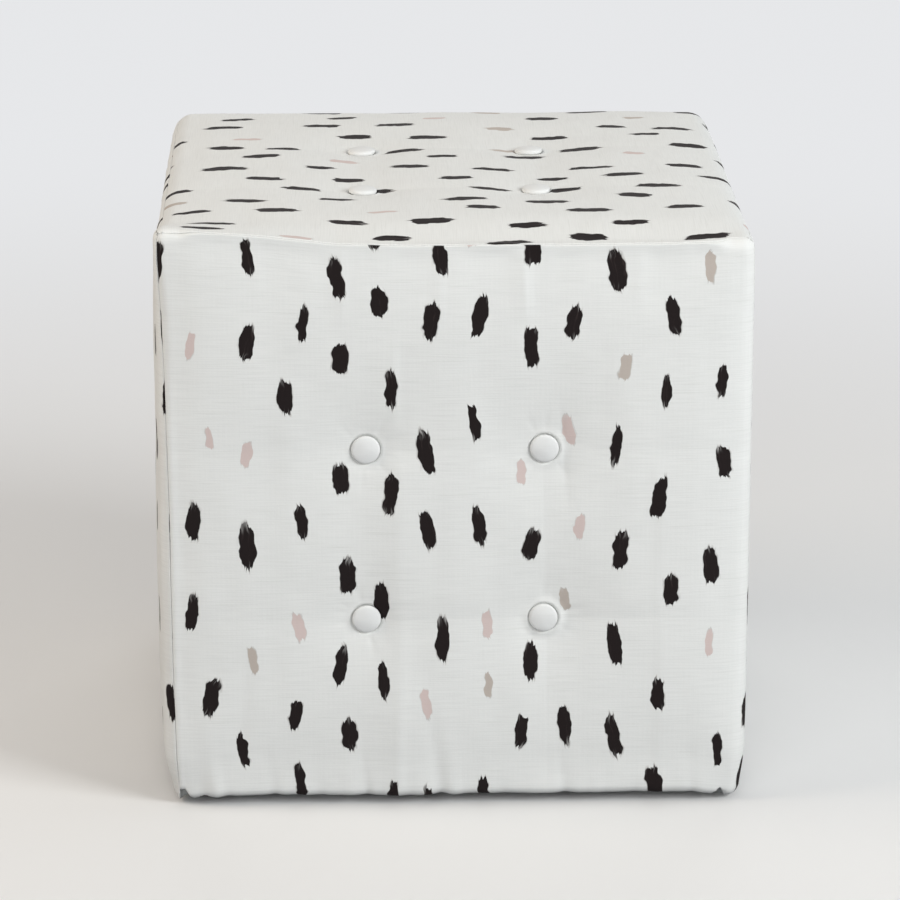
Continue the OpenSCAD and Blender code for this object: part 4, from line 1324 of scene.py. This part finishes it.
# Floor, light and background
AMBIENT = 0.33
BACKDROP = 0.82
BACKDROP_COLOUR = (0.97, 0.98, 1.0, 1)
FLOOR_SEEN, FLOOR_BOUNCE = srgb(232, 232, 231), srgb(129, 131, 135)


def seen_directly(tree):
    """1 for what the camera sees straight, in a reflection or through glass."""
    path = tree.nodes.new("ShaderNodeLightPath")
    seen = path.outputs["Is Camera Ray"]
    for other in ("Is Glossy Ray", "Is Transmission Ray"):
        most = tree.nodes.new("ShaderNodeMath")
        most.operation = "MAXIMUM"
        tree.links.new(seen, most.inputs[0])
        tree.links.new(path.outputs[other], most.inputs[1])
        seen = most.outputs[0]
    return seen


def make_floor():
    """A plain pale floor that runs into the backdrop away from the ottoman."""
    bpy.ops.object.select_all(action="DESELECT")
    bpy.ops.mesh.primitive_plane_add(size=24, location=(0, 0, 0))
    floor = bpy.context.object
    floor.name = "floor"
    f = Finish("pale floor", 0.75, Specular_IOR_Level=0.1)
    seen = seen_directly(f.tree)
    f.colour(f.mix(seen, FLOOR_BOUNCE, FLOOR_SEEN))
    glow = f.node("Emission")
    glow.inputs["Color"].default_value = BACKDROP_COLOUR
    glow.inputs["Strength"].default_value = BACKDROP
    away = f.node("VectorMath", operation="LENGTH")
    f.link(f.place(), away.inputs[0])
    far = f.times(f.ramp(away.outputs["Value"], 0.45, 2.2), seen)
    blend = f.node("MixShader")
    f.link(far, blend.inputs[0])
    f.link(f.shader.outputs[0], blend.inputs[1])
    f.link(glow.outputs[0], blend.inputs[2])
    f.link(blend.outputs[0], f.tree.nodes["Material Output"].inputs["Surface"])
    floor.data.materials.append(f.material)


def set_world():
    world = bpy.data.worlds.new("studio")
    bpy.context.scene.world = world
    world.use_nodes = True
    tree = world.node_tree
    background = tree.nodes["Background"]
    strength = tree.nodes.new("ShaderNodeMapRange")
    tree.links.new(seen_directly(tree), strength.inputs["Value"])
    strength.inputs["To Min"].default_value = AMBIENT
    strength.inputs["To Max"].default_value = BACKDROP
    tree.links.new(strength.outputs[0], background.inputs["Strength"])
    background.inputs["Color"].default_value = BACKDROP_COLOUR


# Place, size, power in watts and colour of each lamp, all aimed at the ottoman's middle
AIM = (0, 0, 0.25)
LAMPS = {
    "window": ((2.6, -1.9, 1.86), (1.5, 1.5), 82, (0.98, 0.995, 1.0)),
    "front fill": ((-0.7, -3.4, 1.3), (2.4, 1.6), 33, (1.0, 1.0, 1.0)),
    "back fill": ((0.3, 3.0, 1.4), (2.6, 1.4), 25, (1.0, 1.0, 1.0)),
    "warm wall": ((-2.2, -0.4, 1.6), (1.2, 1.6), 23, (1.0, 0.85, 0.69))}


def add_lamp(name, place, size, power, colour):
    data = bpy.data.lights.new(name, "AREA")
    data.shape = "RECTANGLE"
    data.size, data.size_y = size
    data.energy = power
    data.color = colour
    lamp = bpy.data.objects.new(name, data)
    bpy.context.scene.collection.objects.link(lamp)
    lamp.location = place
    lamp.rotation_euler = (Vector(AIM) - Vector(place)).to_track_quat("-Z", "Y").to_euler()


make_floor()
set_world()
for name, settings in LAMPS.items():
    add_lamp(name, *settings)

bpy.context.scene.view_settings.view_transform = "Standard"

bpy.context.view_layer.update()
